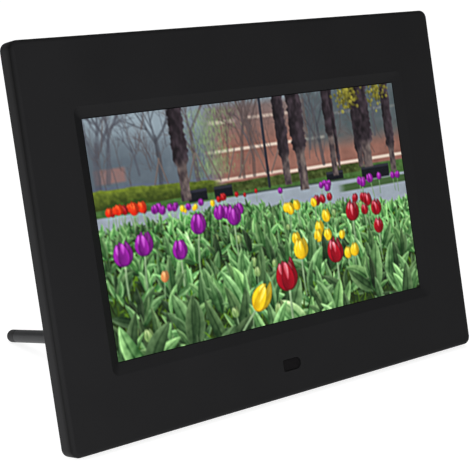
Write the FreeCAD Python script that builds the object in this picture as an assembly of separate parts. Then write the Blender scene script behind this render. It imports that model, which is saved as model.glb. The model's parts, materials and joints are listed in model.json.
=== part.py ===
"""Digital photo frame with a 7-inch display, leaning back on a stand rod that screws into its rear cover.

Millimetres. Every piece is first built in the frame's own upright coordinates: x to the right seen from
the front, y backwards from the front face, z up the front face from its bottom edge. The last step tilts
the whole assembly back until its lower rear edge and the tip of the rod stand on z = 0.
"""
import FreeCAD, Part
import math
import os

Vector = FreeCAD.Vector

# Surround: the moulded frame around the display
surround_width = 204.0
surround_height = 145.0
surround_depth = 8.0
corner_radius = 3.3
front_edge_radius = 1.6
rear_edge_radius = 0.6
side_wall = 2.0
face_thickness = 1.9
middle = surround_height / 2

# Display: a 7-inch 16:9 panel behind a bevelled opening
active_width = 154.08
active_height = 86.58
opening_width = 162.4
opening_height = 95.6
opening_radius = 3.0
opening_lip = 0.4
bevel_margin = 0.4
bevel_corner = 0.6
glass_front = face_thickness + 0.05
glass_thickness = 1.2
glass_width = 161.0
glass_height = 94.0
tray_width = 165.0
tray_height = 100.0
tray_front = 2.2
tray_back = 6.0
tray_wall = 0.5
guide_front = 3.4
guide_back = 5.4
guide_width = 159.0
guide_height = 91.0

# Ribs on the inside of the surround that hold the display's corners
locator_gap = 0.2
locator_wall = 1.2
locator_reach = 14.0

# Remote control window at the bottom centre of the surround, round at its right end
window_left = -4.1
window_right = 4.8
window_bottom = 9.9
window_height = 4.5
window_corner = 0.6
window_lip = 0.2
window_recess = 0.5
window_gap = 0.2
window_flange = 1.0
window_flange_thickness = 0.8
window_x = (window_left + window_right) / 2
window_z = window_bottom + window_height / 2
receiver_back = 5.6

# Rear cover: a rim plate inside the surround, and a raised housing
rim_front = 6.6
rim_gap = 0.2
housing_width = 156.0
housing_height = 108.0
housing_radius = 9.0
housing_back = 20.0
housing_edge_radius = 2.5
cover_wall = 1.8
inner_back = housing_back - cover_wall
inner_width = housing_width - 2 * cover_wall
inner_height = housing_height - 2 * cover_wall

# Countersunk screws that hold the rear cover to the surround
case_screw_columns = (-91.0, -32.0, 32.0, 91.0)
case_screw_rows = (11.0, 134.0)
case_screw_radius = 1.0
case_screw_head = 1.9
case_screw_cone = 0.9
case_screw_skin = 0.6
boss_radius = 2.6

# Stand rod, its M4 stud and the two brass sockets
lean = 13.5
rod_radius = 2.8
rod_x = -50.0
rod_height = 31.2
portrait_x = -(surround_width / 2 - rod_height)
portrait_z = middle - 32.0
stud_radius = 2.0
stud_length = 8.0
stud_inset = 8.0
thread_clearance = 0.05
socket_face = 19.2
socket_radius = 3.3
socket_length = 8.0
dish_radius = 4.6
stand_boss_radius = 5.6
stand_boss_front = 10.0
stand_bore_front = 10.6
foot_length = 7.0
foot_spigot_radius = 1.9
foot_spigot_length = 3.0
foot_clearance = 0.06

# Main board
board_left = -30.0
board_right = 75.6
board_bottom = 24.0
board_top = 88.0
board_front = 9.6
board_back = 10.8
post_radius = 2.5
board_screw_radius = 0.95
board_screw_head = 1.9
board_screw_head_height = 1.2
board_screw_reach = 4.5
screw_hole_radius = 1.1
board_screws = ((-26.0, 56.0), (-26.0, 28.0), (44.0, 28.0), (44.0, 84.0))

# Keys, from left to right seen from the front, and the small board behind them
key_names = ("right", "left", "down", "up", "exit", "menu", "power")
key_pitch = 10.5
key_z = 116.0
key_width = 7.0
key_height = 4.6
key_radius = 1.2
key_gap = 0.2
key_stand_out = 0.8
key_flange_margin = 0.9
key_flange_back = inner_back - 0.2
key_flange_thickness = 1.0
switch_size = 6.0
switch_front = 12.2
switch_back = 15.6
plunger_radius = 1.6
plunger_bore = 1.7
plunger_inset = 1.4
key_board_width = 84.0
key_board_height = 9.6
key_board_thickness = 1.0
key_board_screw_x = 38.5

# Speakers and their grilles
speaker_x = 58.0
speaker_z = 103.0
speaker_radius = 10.0
speaker_back = 17.9
speaker_rim = 14.0
magnet_radius = 5.5
magnet_front = 11.6
speaker_ring_wall = 1.2
speaker_ring_front = 15.0
speaker_gap = 0.2
grille_pitch = 2.6
grille_radius = 7.6
grille_hole = 0.8

# Keyhole slots for hanging on a wall
keyhole_x = 28.0
keyhole_z = 95.0
keyhole_head = 4.5
keyhole_slot = 2.2
keyhole_rise = 7.5
pocket_wall = 1.2
pocket_depth = 3.6

# Sockets in the right-hand side of the housing
socket_right = housing_width / 2 - 0.3
usb_z = 52.0
usb_width = 13.2
usb_thickness = 5.8
usb_length = 14.0
usb_shell = 0.35
card_z = 73.0
card_width = 26.5
card_thickness = 2.9
card_length = 28.0
card_slot_width = 24.6
card_slot_thickness = 2.3
dc_z = 30.0
dc_width = 8.0
dc_thickness = 6.4
dc_length = 11.5
dc_hole = 1.8
dc_pin = 0.65
phones_z = 41.0
phones_width = 6.4
phones_thickness = 5.2
phones_length = 13.0
phones_barrel = 2.6
phones_hole = 1.8
phones_depth = 12.0
mouth_gap = 0.3

# Leads
lead_radius = 0.6
lead_y = 12.8

# The clock battery
cell_x = -13.0
cell_z = 40.0

# Ventilation slots
vent_count = 9
vent_pitch = 6.0
vent_width = 2.0
vent_low = 42.0
vent_high = 74.0


def box(x0, x1, y0, y1, z0, z1):
    """A block between two corners."""
    return Part.makeBox(x1 - x0, y1 - y0, z1 - z0, Vector(x0, y0, z0))


def peg(radius, y0, y1, x, z):
    """A round bar along y."""
    return Part.makeCylinder(radius, y1 - y0, Vector(x, y0, z), Vector(0, 1, 0))


def cross_peg(radius, x0, x1, y, z):
    """A round bar along x."""
    return Part.makeCylinder(radius, x1 - x0, Vector(x0, y, z), Vector(1, 0, 0))


def rounded_wire(width, height, radius, y, x=0.0, z=middle):
    """A rectangle with rounded corners, in the plane at depth y."""
    half_w = width / 2
    half_h = height / 2
    cut = radius * (1 - math.sqrt(0.5))
    edges = []
    for side_x, side_z in ((1, 1), (-1, 1), (-1, -1), (1, -1)):
        corner_x = x + side_x * half_w
        corner_z = z + side_z * half_h
        on_side = Vector(corner_x, y, corner_z - side_z * radius)
        between = Vector(corner_x - side_x * cut, y, corner_z - side_z * cut)
        on_top = Vector(corner_x - side_x * radius, y, corner_z)
        first, last = (on_side, on_top) if side_x == side_z else (on_top, on_side)
        edges.append((first, between, last))
    parts = []
    for index, (first, between, last) in enumerate(edges):
        parts.append(Part.Arc(first, between, last).toShape())
        following = edges[(index + 1) % len(edges)][0]
        parts.append(Part.LineSegment(last, following).toShape())
    return Part.Wire(parts)


def slab(width, height, radius, y0, y1, x=0.0, z=middle):
    """A rounded rectangle given a thickness along y."""
    face = Part.Face(rounded_wire(width, height, radius, y0, x, z))
    return face.extrude(Vector(0, y1 - y0, 0))


def upright_slot(width, z_low, z_high, y0, y1, x):
    """A slot with round ends that runs up the face."""
    radius = width / 2
    slot = box(x - radius, x + radius, y0, y1, z_low + radius, z_high - radius)
    slot = slot.fuse(peg(radius, y0, y1, x, z_low + radius))
    return slot.fuse(peg(radius, y0, y1, x, z_high - radius))


def round_edges(shape, radius, chosen):
    """The shape with every edge that chosen accepts rounded."""
    return shape.makeFillet(radius, [edge for edge in shape.Edges if chosen(edge)])


def at_depth(edge, y):
    """True where an edge lies in the plane at depth y."""
    bounds = edge.BoundBox
    return abs(bounds.YMin - y) < 0.001 and abs(bounds.YMax - y) < 0.001


def strip(points, thickness, x0, x1):
    """A thin flat cable of constant thickness along a path of (y, z) points."""
    shape = None
    half = thickness / 2
    for (y0, z0), (y1, z1) in zip(points, points[1:]):
        run = Vector(0, y1 - y0, z1 - z0)
        length = run.Length
        run.normalize()
        side = Vector(0, -run.z, run.y) * half
        start = Vector(x0, y0, z0) - run * half
        end = start + run * (length + thickness)
        corners = [start - side, end - side, end + side, start + side, start - side]
        piece = Part.Face(Part.makePolygon(corners)).extrude(Vector(x1 - x0, 0, 0))
        shape = piece if shape is None else shape.fuse(piece)
    return shape.removeSplitter()


def lead(points, radius, bend):
    """A round lead through the points, with an arc of one radius at every bend."""
    knots = [Vector(*point) for point in points]
    edges = []
    here = knots[0]
    for before, knot, after in zip(knots, knots[1:], knots[2:]):
        arriving = (knot - before).normalize()
        leaving = (after - knot).normalize()
        turn = arriving.getAngle(leaving)
        reach = bend * math.tan(turn / 2)
        start = knot - arriving * reach
        end = knot + leaving * reach
        inward = (leaving - arriving).normalize()
        centre = knot + inward * (bend / math.cos(turn / 2))
        edges.append(Part.LineSegment(here, start).toShape())
        edges.append(Part.Arc(start, centre - inward * bend, end).toShape())
        here = end
    edges.append(Part.LineSegment(here, knots[-1]).toShape())
    direction = (knots[1] - knots[0]).normalize()
    section = Part.Wire([Part.makeCircle(radius, knots[0], direction)])
    return Part.Wire(edges).makePipeShell([section], True, False)


def case_screw_places():
    """The eight (x, z) places of the rear cover's screws."""
    return [(x, z) for x in case_screw_columns for z in case_screw_rows]


def key_places():
    """(name, x) of every key, counted from the middle of the row."""
    first = -(len(key_names) - 1) / 2
    return [(name, (first + index) * key_pitch) for index, name in enumerate(key_names)]


def stand_sockets():
    """The (x, z) places of the sockets for standing upright and on the side."""
    return ((rod_x, rod_height), (portrait_x, portrait_z))


def window_outline(grow, y0, y1):
    """The remote window's shape, straight at the left and round at the right."""
    left = window_left - grow
    right = window_right + grow
    low = window_bottom - grow
    high = window_bottom + window_height + grow
    half = (high - low) / 2
    shape = box(left, right - half, y0, y1, low, high)
    shape = round_edges(shape, window_corner + grow, lambda edge: is_left_corner(edge, left))
    return shape.fuse(peg(half, y0, y1, right - half, low + half)).removeSplitter()


def is_left_corner(edge, left):
    """True for the two edges along y at the window's left end."""
    bounds = edge.BoundBox
    return abs(bounds.XMax - left) < 0.001 and bounds.ZLength < 0.001


def bevelled_opening():
    """The space of the display opening: a bevel that narrows to just outside the active area."""
    slope_x = (opening_width - active_width - 2 * bevel_margin) / face_thickness
    slope_z = (opening_height - active_height - 2 * bevel_margin) / face_thickness
    lead_in = 0.4
    outer = rounded_wire(
        opening_width + slope_x * lead_in,
        opening_height + slope_z * lead_in,
        opening_radius,
        -lead_in,
    )
    inner = rounded_wire(
        opening_width - slope_x * (face_thickness + lead_in),
        opening_height - slope_z * (face_thickness + lead_in),
        bevel_corner,
        face_thickness + lead_in,
    )
    return Part.makeLoft([outer, inner], True, True)


def is_opening_lip(edge):
    """True for the front edges of the display opening, inside the surround's outline."""
    bounds = edge.BoundBox
    near = abs(bounds.Center.x) < opening_width / 2 + 0.1
    return at_depth(edge, 0) and near and abs(bounds.Center.z - middle) < opening_height / 2 + 0.1


def front_frame():
    """The moulded surround with its bevelled opening, screw bosses and display locators."""
    body = slab(surround_width, surround_height, corner_radius, 0, surround_depth)
    body = round_edges(body, front_edge_radius, lambda edge: at_depth(edge, 0))
    body = round_edges(body, rear_edge_radius, lambda edge: at_depth(edge, surround_depth))
    hollow_width = surround_width - 2 * side_wall
    hollow_height = surround_height - 2 * side_wall
    hollow_radius = corner_radius - side_wall
    hollow = slab(hollow_width, hollow_height, hollow_radius, face_thickness, surround_depth + 1)
    body = body.cut(hollow).cut(bevelled_opening())
    body = round_edges(body, opening_lip, is_opening_lip)
    for x, z in case_screw_places():
        body = body.fuse(peg(boss_radius, face_thickness, rim_front, x, z))
    body = body.fuse(display_locators())
    for x, z in case_screw_places():
        bore_front = face_thickness + case_screw_skin
        body = body.cut(peg(case_screw_radius, bore_front, rim_front + 1, x, z))
    body = body.cut(window_outline(0, -1, face_thickness + 1)).removeSplitter()
    return round_edges(body, window_lip, is_window_lip)


def is_window_lip(edge):
    """True for the front edges of the remote window's hole."""
    bounds = edge.BoundBox
    inside = window_left - 0.1 < bounds.Center.x < window_right + 0.1
    return at_depth(edge, 0) and inside and abs(bounds.Center.z - window_z) < window_height


def display_locators():
    """Four L-shaped ribs that hold the corners of the display."""
    inner_w = tray_width + 2 * locator_gap
    inner_h = tray_height + 2 * locator_gap
    outer_w = inner_w + 2 * locator_wall
    outer_h = inner_h + 2 * locator_wall
    ring = slab(outer_w, outer_h, locator_wall, face_thickness, tray_back)
    ring = ring.cut(slab(inner_w, inner_h, locator_gap, 0, surround_depth))
    gap_x = tray_width / 2 - locator_reach
    gap_z = tray_height / 2 - locator_reach
    across = box(-gap_x, gap_x, 0, surround_depth, 0, surround_height)
    along = box(-outer_w, outer_w, 0, surround_depth, middle - gap_z, middle + gap_z)
    return ring.cut(across).cut(along)


def ir_window():
    """The dark lens of the remote control receiver, with a flange behind the surround's face."""
    lens = window_outline(-window_gap, window_recess, face_thickness)
    flange_back = face_thickness + window_flange_thickness
    flange = window_outline(window_flange, face_thickness, flange_back)
    return lens.fuse(flange).removeSplitter()


def ir_receiver():
    """The remote receiver: a moulded block with a domed lens."""
    block_front = receiver_back - 2.0
    dome_radius = 1.9
    dome_centre = block_front + 1.1
    block = slab(6.8, 5.6, 0.4, block_front, receiver_back, window_x, window_z)
    dome = Part.makeSphere(dome_radius, Vector(window_x, dome_centre, window_z))
    front_half = peg(dome_radius + 1, dome_centre - dome_radius, dome_centre, window_x, window_z)
    return block.fuse(dome.common(front_half)).removeSplitter()


def ir_board():
    """The small circuit board behind the remote receiver."""
    thickness = 0.8
    return slab(13.0, 9.0, 0.5, receiver_back, receiver_back + thickness, window_x, window_z)


def display_glass():
    """The liquid crystal cell."""
    return slab(glass_width, glass_height, 0.4, glass_front, glass_front + glass_thickness)


def light_guide():
    """The acrylic sheet that spreads the backlight."""
    return slab(guide_width, guide_height, 0.4, guide_front, guide_back)


def led_strip():
    """The strip of backlight lamps along the lower edge of the light guide."""
    top = middle - guide_height / 2 - 0.1
    front = guide_front + 0.2
    back = guide_back - 0.2
    board_top_edge = top - 1.6
    board_low_edge = top - 2.2
    half_strip = 75.0
    lamp_pitch = 6.0
    half_lamp = 1.8
    shape = box(-half_strip, half_strip, front, back, board_low_edge, board_top_edge)
    lamps = int(2 * half_strip / lamp_pitch)
    for index in range(lamps):
        x = (index - (lamps - 1) / 2) * lamp_pitch
        lamp = box(x - half_lamp, x + half_lamp, front + 0.1, back - 0.1, board_top_edge, top)
        shape = shape.fuse(lamp)
    return shape.removeSplitter()


def backlight_tray():
    """The pressed steel tray that holds the display's layers, notched for the flat cable."""
    tray = slab(tray_width, tray_height, 0.8, tray_front, tray_back)
    inner_w = tray_width - 2 * tray_wall
    inner_h = tray_height - 2 * tray_wall
    tray = tray.cut(slab(inner_w, inner_h, 0.4, tray_front - 1, tray_back - tray_wall))
    low = middle - tray_height / 2
    notch_back = guide_front + 0.8
    return tray.cut(box(-4, 20, tray_front - 1, notch_back, low - 1, low + 1))


def lcd_flex():
    """The flat cable from the glass round the tray to the main board."""
    thickness = 0.16
    behind_glass = glass_front + glass_thickness + 0.09
    below_tray = middle - tray_height / 2 - 1.1
    at_connector = 8.9
    path = (
        (behind_glass, below_tray + 5.1),
        (behind_glass, below_tray),
        (at_connector, below_tray),
        (at_connector, below_tray + 10.0),
    )
    return strip(path, thickness, -2.0, 18.0)


def flex_connector():
    """The connector of the display's flat cable, on the front of the main board."""
    low = 31.5
    body = box(-4.0, 20.0, board_front - 1.3, board_front, low, low + 5.0)
    mouth = box(-2.5, 18.5, board_front - 1.0, board_front - 0.4, low - 1.0, low + 3.0)
    return body.cut(mouth)


def foam_pads():
    """Two strips of foam between the display and the rear cover's rim."""
    pad_x = tray_width / 2 - 2.9
    pads = [slab(4.4, 80.0, 0.4, tray_back, rim_front, side * pad_x) for side in (-1, 1)]
    return Part.makeCompound(pads)


def rear_cover():
    """The back of the case: rim plate, raised housing, bosses, posts, grilles and socket mouths."""
    rim_width = surround_width - 2 * (side_wall + rim_gap)
    rim_height = surround_height - 2 * (side_wall + rim_gap)
    rim_radius = corner_radius - side_wall - rim_gap
    rim = slab(rim_width, rim_height, rim_radius, rim_front, surround_depth)
    housing = slab(housing_width, housing_height, housing_radius, rim_front, housing_back)
    housing = round_edges(housing, housing_edge_radius, lambda edge: at_depth(edge, housing_back))
    inner_radius = housing_radius - cover_wall
    cavity = slab(inner_width, inner_height, inner_radius, rim_front - 1, inner_back)
    body = rim.fuse(housing).cut(cavity)
    for piece in cover_inner_parts():
        body = body.fuse(piece)
    for piece in cover_cuts():
        body = body.cut(piece)
    return body.removeSplitter()


def cover_inner_parts():
    """What is moulded on the inside of the rear cover."""
    parts = []
    inside = slab(inner_width, inner_height, housing_radius - cover_wall, 0, housing_back)
    for x, z in stand_sockets():
        parts.append(peg(stand_boss_radius, stand_boss_front, inner_back, x, z).common(inside))
    for x, z in board_screws:
        parts.append(peg(post_radius, board_back, inner_back, x, z))
    for side in (-1, 1):
        parts.append(peg(post_radius, switch_front, inner_back, side * key_board_screw_x, key_z))
        parts.append(speaker_ring(side * speaker_x))
        parts.append(keyhole_pocket(side * keyhole_x))
    return parts


def speaker_ring(x):
    """The ring that holds one speaker."""
    inner_radius = speaker_radius + speaker_gap
    outer_radius = inner_radius + speaker_ring_wall
    outer = peg(outer_radius, speaker_ring_front, inner_back, x, speaker_z)
    return outer.cut(peg(inner_radius, speaker_ring_front - 1, inner_back, x, speaker_z))


def keyhole_pocket(x):
    """The closed pocket behind a keyhole slot, so that a wall screw can't reach the electronics."""
    low = keyhole_z - keyhole_head - pocket_wall
    high = keyhole_z + keyhole_rise + keyhole_head + pocket_wall
    half = keyhole_head + pocket_wall
    front = inner_back - pocket_depth - pocket_wall
    outer = box(x - half, x + half, front, inner_back, low, high)
    inner = box(
        x - keyhole_head,
        x + keyhole_head,
        front + pocket_wall,
        inner_back,
        low + pocket_wall,
        high - pocket_wall,
    )
    return outer.cut(inner)


def cover_cuts():
    """Everything that is cut out of the rear cover."""
    cuts = []
    outside = housing_back + 1
    for x, z in case_screw_places():
        cuts.append(peg(case_screw_radius + 0.1, rim_front - 1, surround_depth + 1, x, z))
        cuts.append(screw_cone(x, z))
    for x, z in stand_sockets():
        cuts.append(peg(dish_radius, socket_face, outside, x, z))
        cuts.append(peg(socket_radius, socket_face - socket_length, outside, x, z))
        cuts.append(peg(stud_radius + 0.4, stand_bore_front, inner_back, x, z))
    for x, z in board_screws:
        cuts.append(peg(board_screw_radius, board_back - 1, board_back + board_screw_reach, x, z))
    for side in (-1, 1):
        x = side * key_board_screw_x
        bore_back = switch_front + board_screw_reach
        cuts.append(peg(board_screw_radius, switch_front - 1, bore_back, x, key_z))
        cuts.extend(keyhole(side * keyhole_x))
        cuts.extend(grille(side * speaker_x))
    for name, x in key_places():
        wide = key_width + 2 * key_gap
        high = key_height + 2 * key_gap
        cuts.append(slab(wide, high, key_radius + key_gap, inner_back - 1, outside, x, key_z))
    for index in range(vent_count):
        x = (index - (vent_count - 1) / 2) * vent_pitch
        cuts.append(upright_slot(vent_width, vent_low, vent_high, inner_back - 1, outside, x))
    cuts.extend(socket_mouths())
    return cuts


def screw_cone(x, z):
    """The countersunk head of a case screw, and the space that it sits in."""
    start = Vector(x, surround_depth - case_screw_cone, z)
    return Part.makeCone(
        case_screw_radius, case_screw_head, case_screw_cone, start, Vector(0, 1, 0)
    )


def keyhole(x):
    """A keyhole slot: a round hole for the screw's head and a narrow slot above it."""
    y0 = inner_back - 0.1
    y1 = housing_back + 1
    head = peg(keyhole_head, y0, y1, x, keyhole_z)
    top = keyhole_z + keyhole_rise + keyhole_slot
    slot = upright_slot(2 * keyhole_slot, keyhole_z - keyhole_slot, top, y0, y1, x)
    return [head, slot]


def grille(x):
    """The holes in front of a speaker, in a hexagonal pattern."""
    holes = []
    row_pitch = grille_pitch * math.sqrt(3) / 2
    reach = int(grille_radius / row_pitch)
    for row in range(-reach, reach + 1):
        offset = grille_pitch / 2 if row % 2 else 0.0
        for column in range(-reach - 1, reach + 2):
            hole_x = column * grille_pitch + offset
            hole_z = row * row_pitch
            if math.hypot(hole_x, hole_z) <= grille_radius:
                spot = (x + hole_x, speaker_z + hole_z)
                holes.append(peg(grille_hole, inner_back - 1, housing_back + 1, *spot))
    return holes


def socket_mouths():
    """The openings in the housing's right-hand side for the four sockets."""
    inside = inner_width / 2 - 1
    outside = housing_width / 2 + 1
    usb_y = board_back + 0.1
    dc_back = board_back + dc_thickness
    return [
        box(
            inside,
            outside,
            usb_y - mouth_gap,
            usb_y + usb_thickness + mouth_gap,
            usb_z - usb_width / 2 - mouth_gap,
            usb_z + usb_width / 2 + mouth_gap,
        ),
        box(
            inside,
            outside,
            board_back - mouth_gap,
            board_back + card_thickness + mouth_gap,
            card_z - card_width / 2 - mouth_gap,
            card_z + card_width / 2 + mouth_gap,
        ),
        box(
            inside,
            outside,
            board_back - mouth_gap,
            dc_back + mouth_gap,
            dc_z - dc_width / 2 - mouth_gap,
            dc_z + dc_width / 2 + mouth_gap,
        ),
        cross_peg(
            phones_barrel + mouth_gap,
            inside,
            outside,
            board_back + phones_thickness / 2,
            phones_z,
        ),
    ]


def main_board():
    """The main circuit board with its four screw holes."""
    width = board_right - board_left
    height = board_top - board_bottom
    centre_x = (board_left + board_right) / 2
    centre_z = (board_bottom + board_top) / 2
    board = slab(width, height, 1.5, board_front, board_back, centre_x, centre_z)
    for x, z in board_screws:
        board = board.cut(peg(screw_hole_radius, board_front - 1, board_back + 1, x, z))
    return board


def chip(width, height, thickness, x, z, pins):
    """A flat chip on the back of the main board, with a row of pins at each side."""
    back = board_back + thickness
    body = slab(width, height, 0.3, board_back + 0.1, back, x, z)
    body = round_edges(body, 0.12, lambda edge: at_depth(edge, back))
    pin_reach = 1.0
    pin_thickness = 0.25
    half_pin = 0.15
    half_w = width / 2 + pin_reach
    first = z - height / 2 + 1.0
    pitch = (height - 2.0) / (pins - 1)
    for index in range(pins):
        pin_z = first + index * pitch
        pin_back = board_back + pin_thickness
        pin = box(x - half_w, x + half_w, board_back, pin_back, pin_z - half_pin, pin_z + half_pin)
        body = body.fuse(pin)
    return body.removeSplitter()


def processor_chip():
    """The square image processor."""
    return chip(width=15.0, height=15.0, thickness=1.5, x=12.0, z=62.0, pins=16)


def memory_chip():
    """The working memory, a long flat chip."""
    return chip(width=10.2, height=22.0, thickness=1.1, x=-10.0, z=68.0, pins=14)


def flash_chip():
    """The picture storage chip."""
    return chip(width=12.0, height=18.4, thickness=1.1, x=33.0, z=72.0, pins=12)


def power_chip():
    """The small chip that supplies the voltages."""
    return chip(width=5.0, height=4.4, thickness=1.5, x=34.0, z=48.0, pins=4)


def crystal():
    """The clock crystal in its oval can."""
    top = board_back + 3.4
    can = slab(10.4, 4.2, 2.0, board_back, top, x=12.0, z=47.0)
    return round_edges(can, 0.5, lambda edge: at_depth(edge, top))


def inductors():
    """Two power inductors."""
    size = 7.0
    top = board_back + 3.2
    well_radius = 2.2
    well_depth = 0.6
    coils = []
    for x, z in ((24.0, 33.0), (34.0, 37.0)):
        coil = slab(size, size, 1.6, board_back, top, x, z)
        coils.append(coil.cut(peg(well_radius, top - well_depth, top + 1, x, z)))
    return Part.makeCompound(coils)


def capacitors():
    """Three electrolytic capacitors, each on a square base."""
    base_size = 6.6
    base_top = board_back + 0.8
    can_radius = 3.15
    can_top = board_back + 5.6
    cans = []
    for x, z in ((56.0, 29.0), (56.0, 38.0), (45.0, 52.0)):
        base = slab(base_size, base_size, 0.8, board_back, base_top, x, z)
        can = peg(can_radius, base_top, can_top, x, z)
        cans.append(base.fuse(can).removeSplitter())
    return Part.makeCompound(cans)


def cell_holder():
    """The round holder of the clock battery."""
    floor_back = board_back + 0.8
    above = board_back + 4.0
    ring = peg(11.2, board_back, board_back + 2.6, cell_x, cell_z)
    ring = ring.cut(peg(10.1, floor_back, above, cell_x, cell_z))
    return ring.cut(box(cell_x - 5, cell_x + 5, floor_back, above, cell_z + 8, cell_z + 12))


def coin_cell():
    """The clock battery, a coin cell with a stepped edge."""
    foot = board_back + 0.8
    step = board_back + 1.4
    top = board_back + 4.0
    low = peg(9.0, foot, step, cell_x, cell_z)
    high = peg(10.0, step, top, cell_x, cell_z)
    high = round_edges(high, 0.4, lambda edge: at_depth(edge, top))
    return low.fuse(high).removeSplitter()


def lead_connectors():
    """The white plug connectors of the speaker leads and the remote lead."""
    places = ((-24.0, 83.0), (24.0, 84.2), (-14.0, 26.5))
    back = board_back + 4.0
    return Part.makeCompound([slab(6.0, 4.0, 0.3, board_back, back, x, z) for x, z in places])


def usb_socket():
    """The USB socket: a thin steel shell, its back wall and its tongue."""
    y0 = board_back + 0.1
    y1 = y0 + usb_thickness
    x0 = socket_right - usb_length
    low = usb_z - usb_width / 2
    high = usb_z + usb_width / 2
    shell = box(x0, socket_right, y0, y1, low, high)
    inner = box(
        x0 + 1.0,
        socket_right + 1,
        y0 + usb_shell,
        y1 - usb_shell,
        low + usb_shell,
        high - usb_shell,
    )
    side_gap = 1.1
    tongue = box(
        x0 + 0.5, socket_right - 1.4, y0 + side_gap, y0 + 3.0, low + side_gap, high - side_gap
    )
    return shell.cut(inner).fuse(tongue).removeSplitter()


def card_socket():
    """The memory card socket, open towards the side of the case."""
    x0 = socket_right - card_length
    body = box(
        x0,
        socket_right,
        board_back,
        board_back + card_thickness,
        card_z - card_width / 2,
        card_z + card_width / 2,
    )
    slot_front = board_back + 0.3
    slot = box(
        x0 + 3.0,
        socket_right + 1,
        slot_front,
        slot_front + card_slot_thickness,
        card_z - card_slot_width / 2,
        card_z + card_slot_width / 2,
    )
    return body.cut(slot)


def dc_jack():
    """The power inlet: a moulded block with a round hole and a centre pin."""
    x0 = socket_right - dc_length
    y = board_back + dc_thickness / 2
    half = dc_width / 2
    block = box(x0, socket_right, board_back, board_back + dc_thickness, dc_z - half, dc_z + half)
    block = block.cut(cross_peg(dc_hole, x0 + 2.0, socket_right + 1, y, dc_z))
    return block.fuse(cross_peg(dc_pin, x0 + 1.5, socket_right - 1.5, y, dc_z))


def headphone_jack():
    """The 3.5 mm headphone socket: a block with a round collar and a deep bore."""
    y = board_back + phones_thickness / 2
    wall_inner = inner_width / 2 - mouth_gap
    x0 = socket_right - phones_length
    block = box(
        x0,
        wall_inner,
        board_back,
        board_back + phones_thickness,
        phones_z - phones_width / 2,
        phones_z + phones_width / 2,
    )
    body = block.fuse(cross_peg(phones_barrel, wall_inner - 0.1, socket_right, y, phones_z))
    return body.cut(cross_peg(phones_hole, socket_right - phones_depth, socket_right + 1, y, phones_z))


def speaker(x):
    """A small round loudspeaker: basket, cone and magnet."""
    basket = peg(speaker_radius, speaker_rim, speaker_back, x, speaker_z)
    magnet = peg(magnet_radius, magnet_front, speaker_rim, x, speaker_z)
    cone_depth = 2.0
    cone_start = Vector(x, speaker_back - cone_depth, speaker_z)
    inner_radius = speaker_radius - 5.0
    outer_radius = speaker_radius - 1.2
    dish = Part.makeCone(inner_radius, outer_radius, cone_depth, cone_start, Vector(0, 1, 0))
    dome = Part.makeSphere(4.2, Vector(x, speaker_back - 5.2, speaker_z))
    dome = dome.common(peg(4.0, speaker_back - 2.4, speaker_back, x, speaker_z))
    return basket.fuse(magnet).cut(dish).fuse(dome).removeSplitter()


def speaker_lead_left():
    """The lead from the speaker at the left to the main board."""
    route = (
        (-52.2, lead_y, 101.0),
        (-44.0, lead_y, 94.0),
        (-36.0, lead_y, 83.0),
        (-27.1, lead_y, 83.0),
    )
    return lead(route, lead_radius, 4.0)


def speaker_lead_right():
    """The lead from the speaker at the right to the main board."""
    route = (
        (52.2, lead_y, 101.0),
        (46.0, lead_y, 92.4),
        (38.0, lead_y, 89.6),
        (24.0, lead_y, 89.6),
        (24.0, lead_y, 86.3),
    )
    return lead(route, lead_radius, 2.0)


def ir_lead():
    """The lead from the remote receiver's board to the main board."""
    low_y = 5.4
    route = (
        (window_x - 6.6, low_y, window_z),
        (-14.0, low_y, window_z),
        (-14.0, low_y, 21.2),
        (-14.0, lead_y, 21.2),
        (-14.0, lead_y, 24.4),
    )
    return lead(route, lead_radius, 1.6)


def key_board():
    """The narrow circuit board that carries the key switches."""
    front = switch_front - key_board_thickness
    board = slab(key_board_width, key_board_height, 1.0, front, switch_front, 0.0, key_z)
    for side in (-1, 1):
        x = side * key_board_screw_x
        board = board.cut(peg(screw_hole_radius, front - 1, switch_front + 1, x, key_z))
    return board


def key_switches():
    """The bodies of the push switches, one behind every key."""
    switches = []
    for name, x in key_places():
        body = slab(switch_size, switch_size, 0.4, switch_front, switch_back, x, key_z)
        bore_front = switch_back - plunger_inset - 0.7
        bore = peg(plunger_bore, bore_front, switch_back + 1, x, key_z)
        switches.append(body.cut(bore))
    return Part.makeCompound(switches)


def key_plunger(x):
    """The moving plunger of one push switch, from its body to the key cap."""
    flange_front = key_flange_back - key_flange_thickness
    return peg(plunger_radius, switch_back - plunger_inset, flange_front, x, key_z)


def key_cap(x):
    """One key: a domed cap that stands out of the cover, with a flange inside it."""
    top = housing_back + key_stand_out
    stem = slab(key_width, key_height, key_radius, key_flange_back, top, x, key_z)
    stem = round_edges(stem, 0.5, lambda edge: at_depth(edge, top))
    flange = slab(
        key_width + 2 * key_flange_margin,
        key_height + 2 * key_flange_margin,
        key_radius,
        key_flange_back - key_flange_thickness,
        key_flange_back,
        x,
        key_z,
    )
    return stem.fuse(flange).removeSplitter()


def key_cable():
    """The flat cable from the key board to the main board."""
    thickness = 0.24
    on_key_board = switch_front - key_board_thickness - 0.14
    on_main_board = board_front - 0.15
    path = (
        (on_key_board, key_z - 1.0),
        (on_key_board, 100.0),
        (on_main_board, 93.0),
        (on_main_board, 84.0),
    )
    return strip(path, thickness, -5.0, 5.0)


def stand_socket(x, z):
    """A brass threaded socket moulded into the rear cover, with a groove round its middle."""
    front = socket_face - socket_length
    body = peg(socket_radius, front, socket_face, x, z)
    groove_front = front + 3.2
    groove_back = front + 4.8
    groove = peg(socket_radius + 1, groove_front, groove_back, x, z)
    groove = groove.cut(peg(socket_radius - 0.5, groove_front, groove_back, x, z))
    body = body.cut(groove)
    return body.cut(peg(stud_radius + thread_clearance, front - 1, socket_face + 1, x, z))


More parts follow.
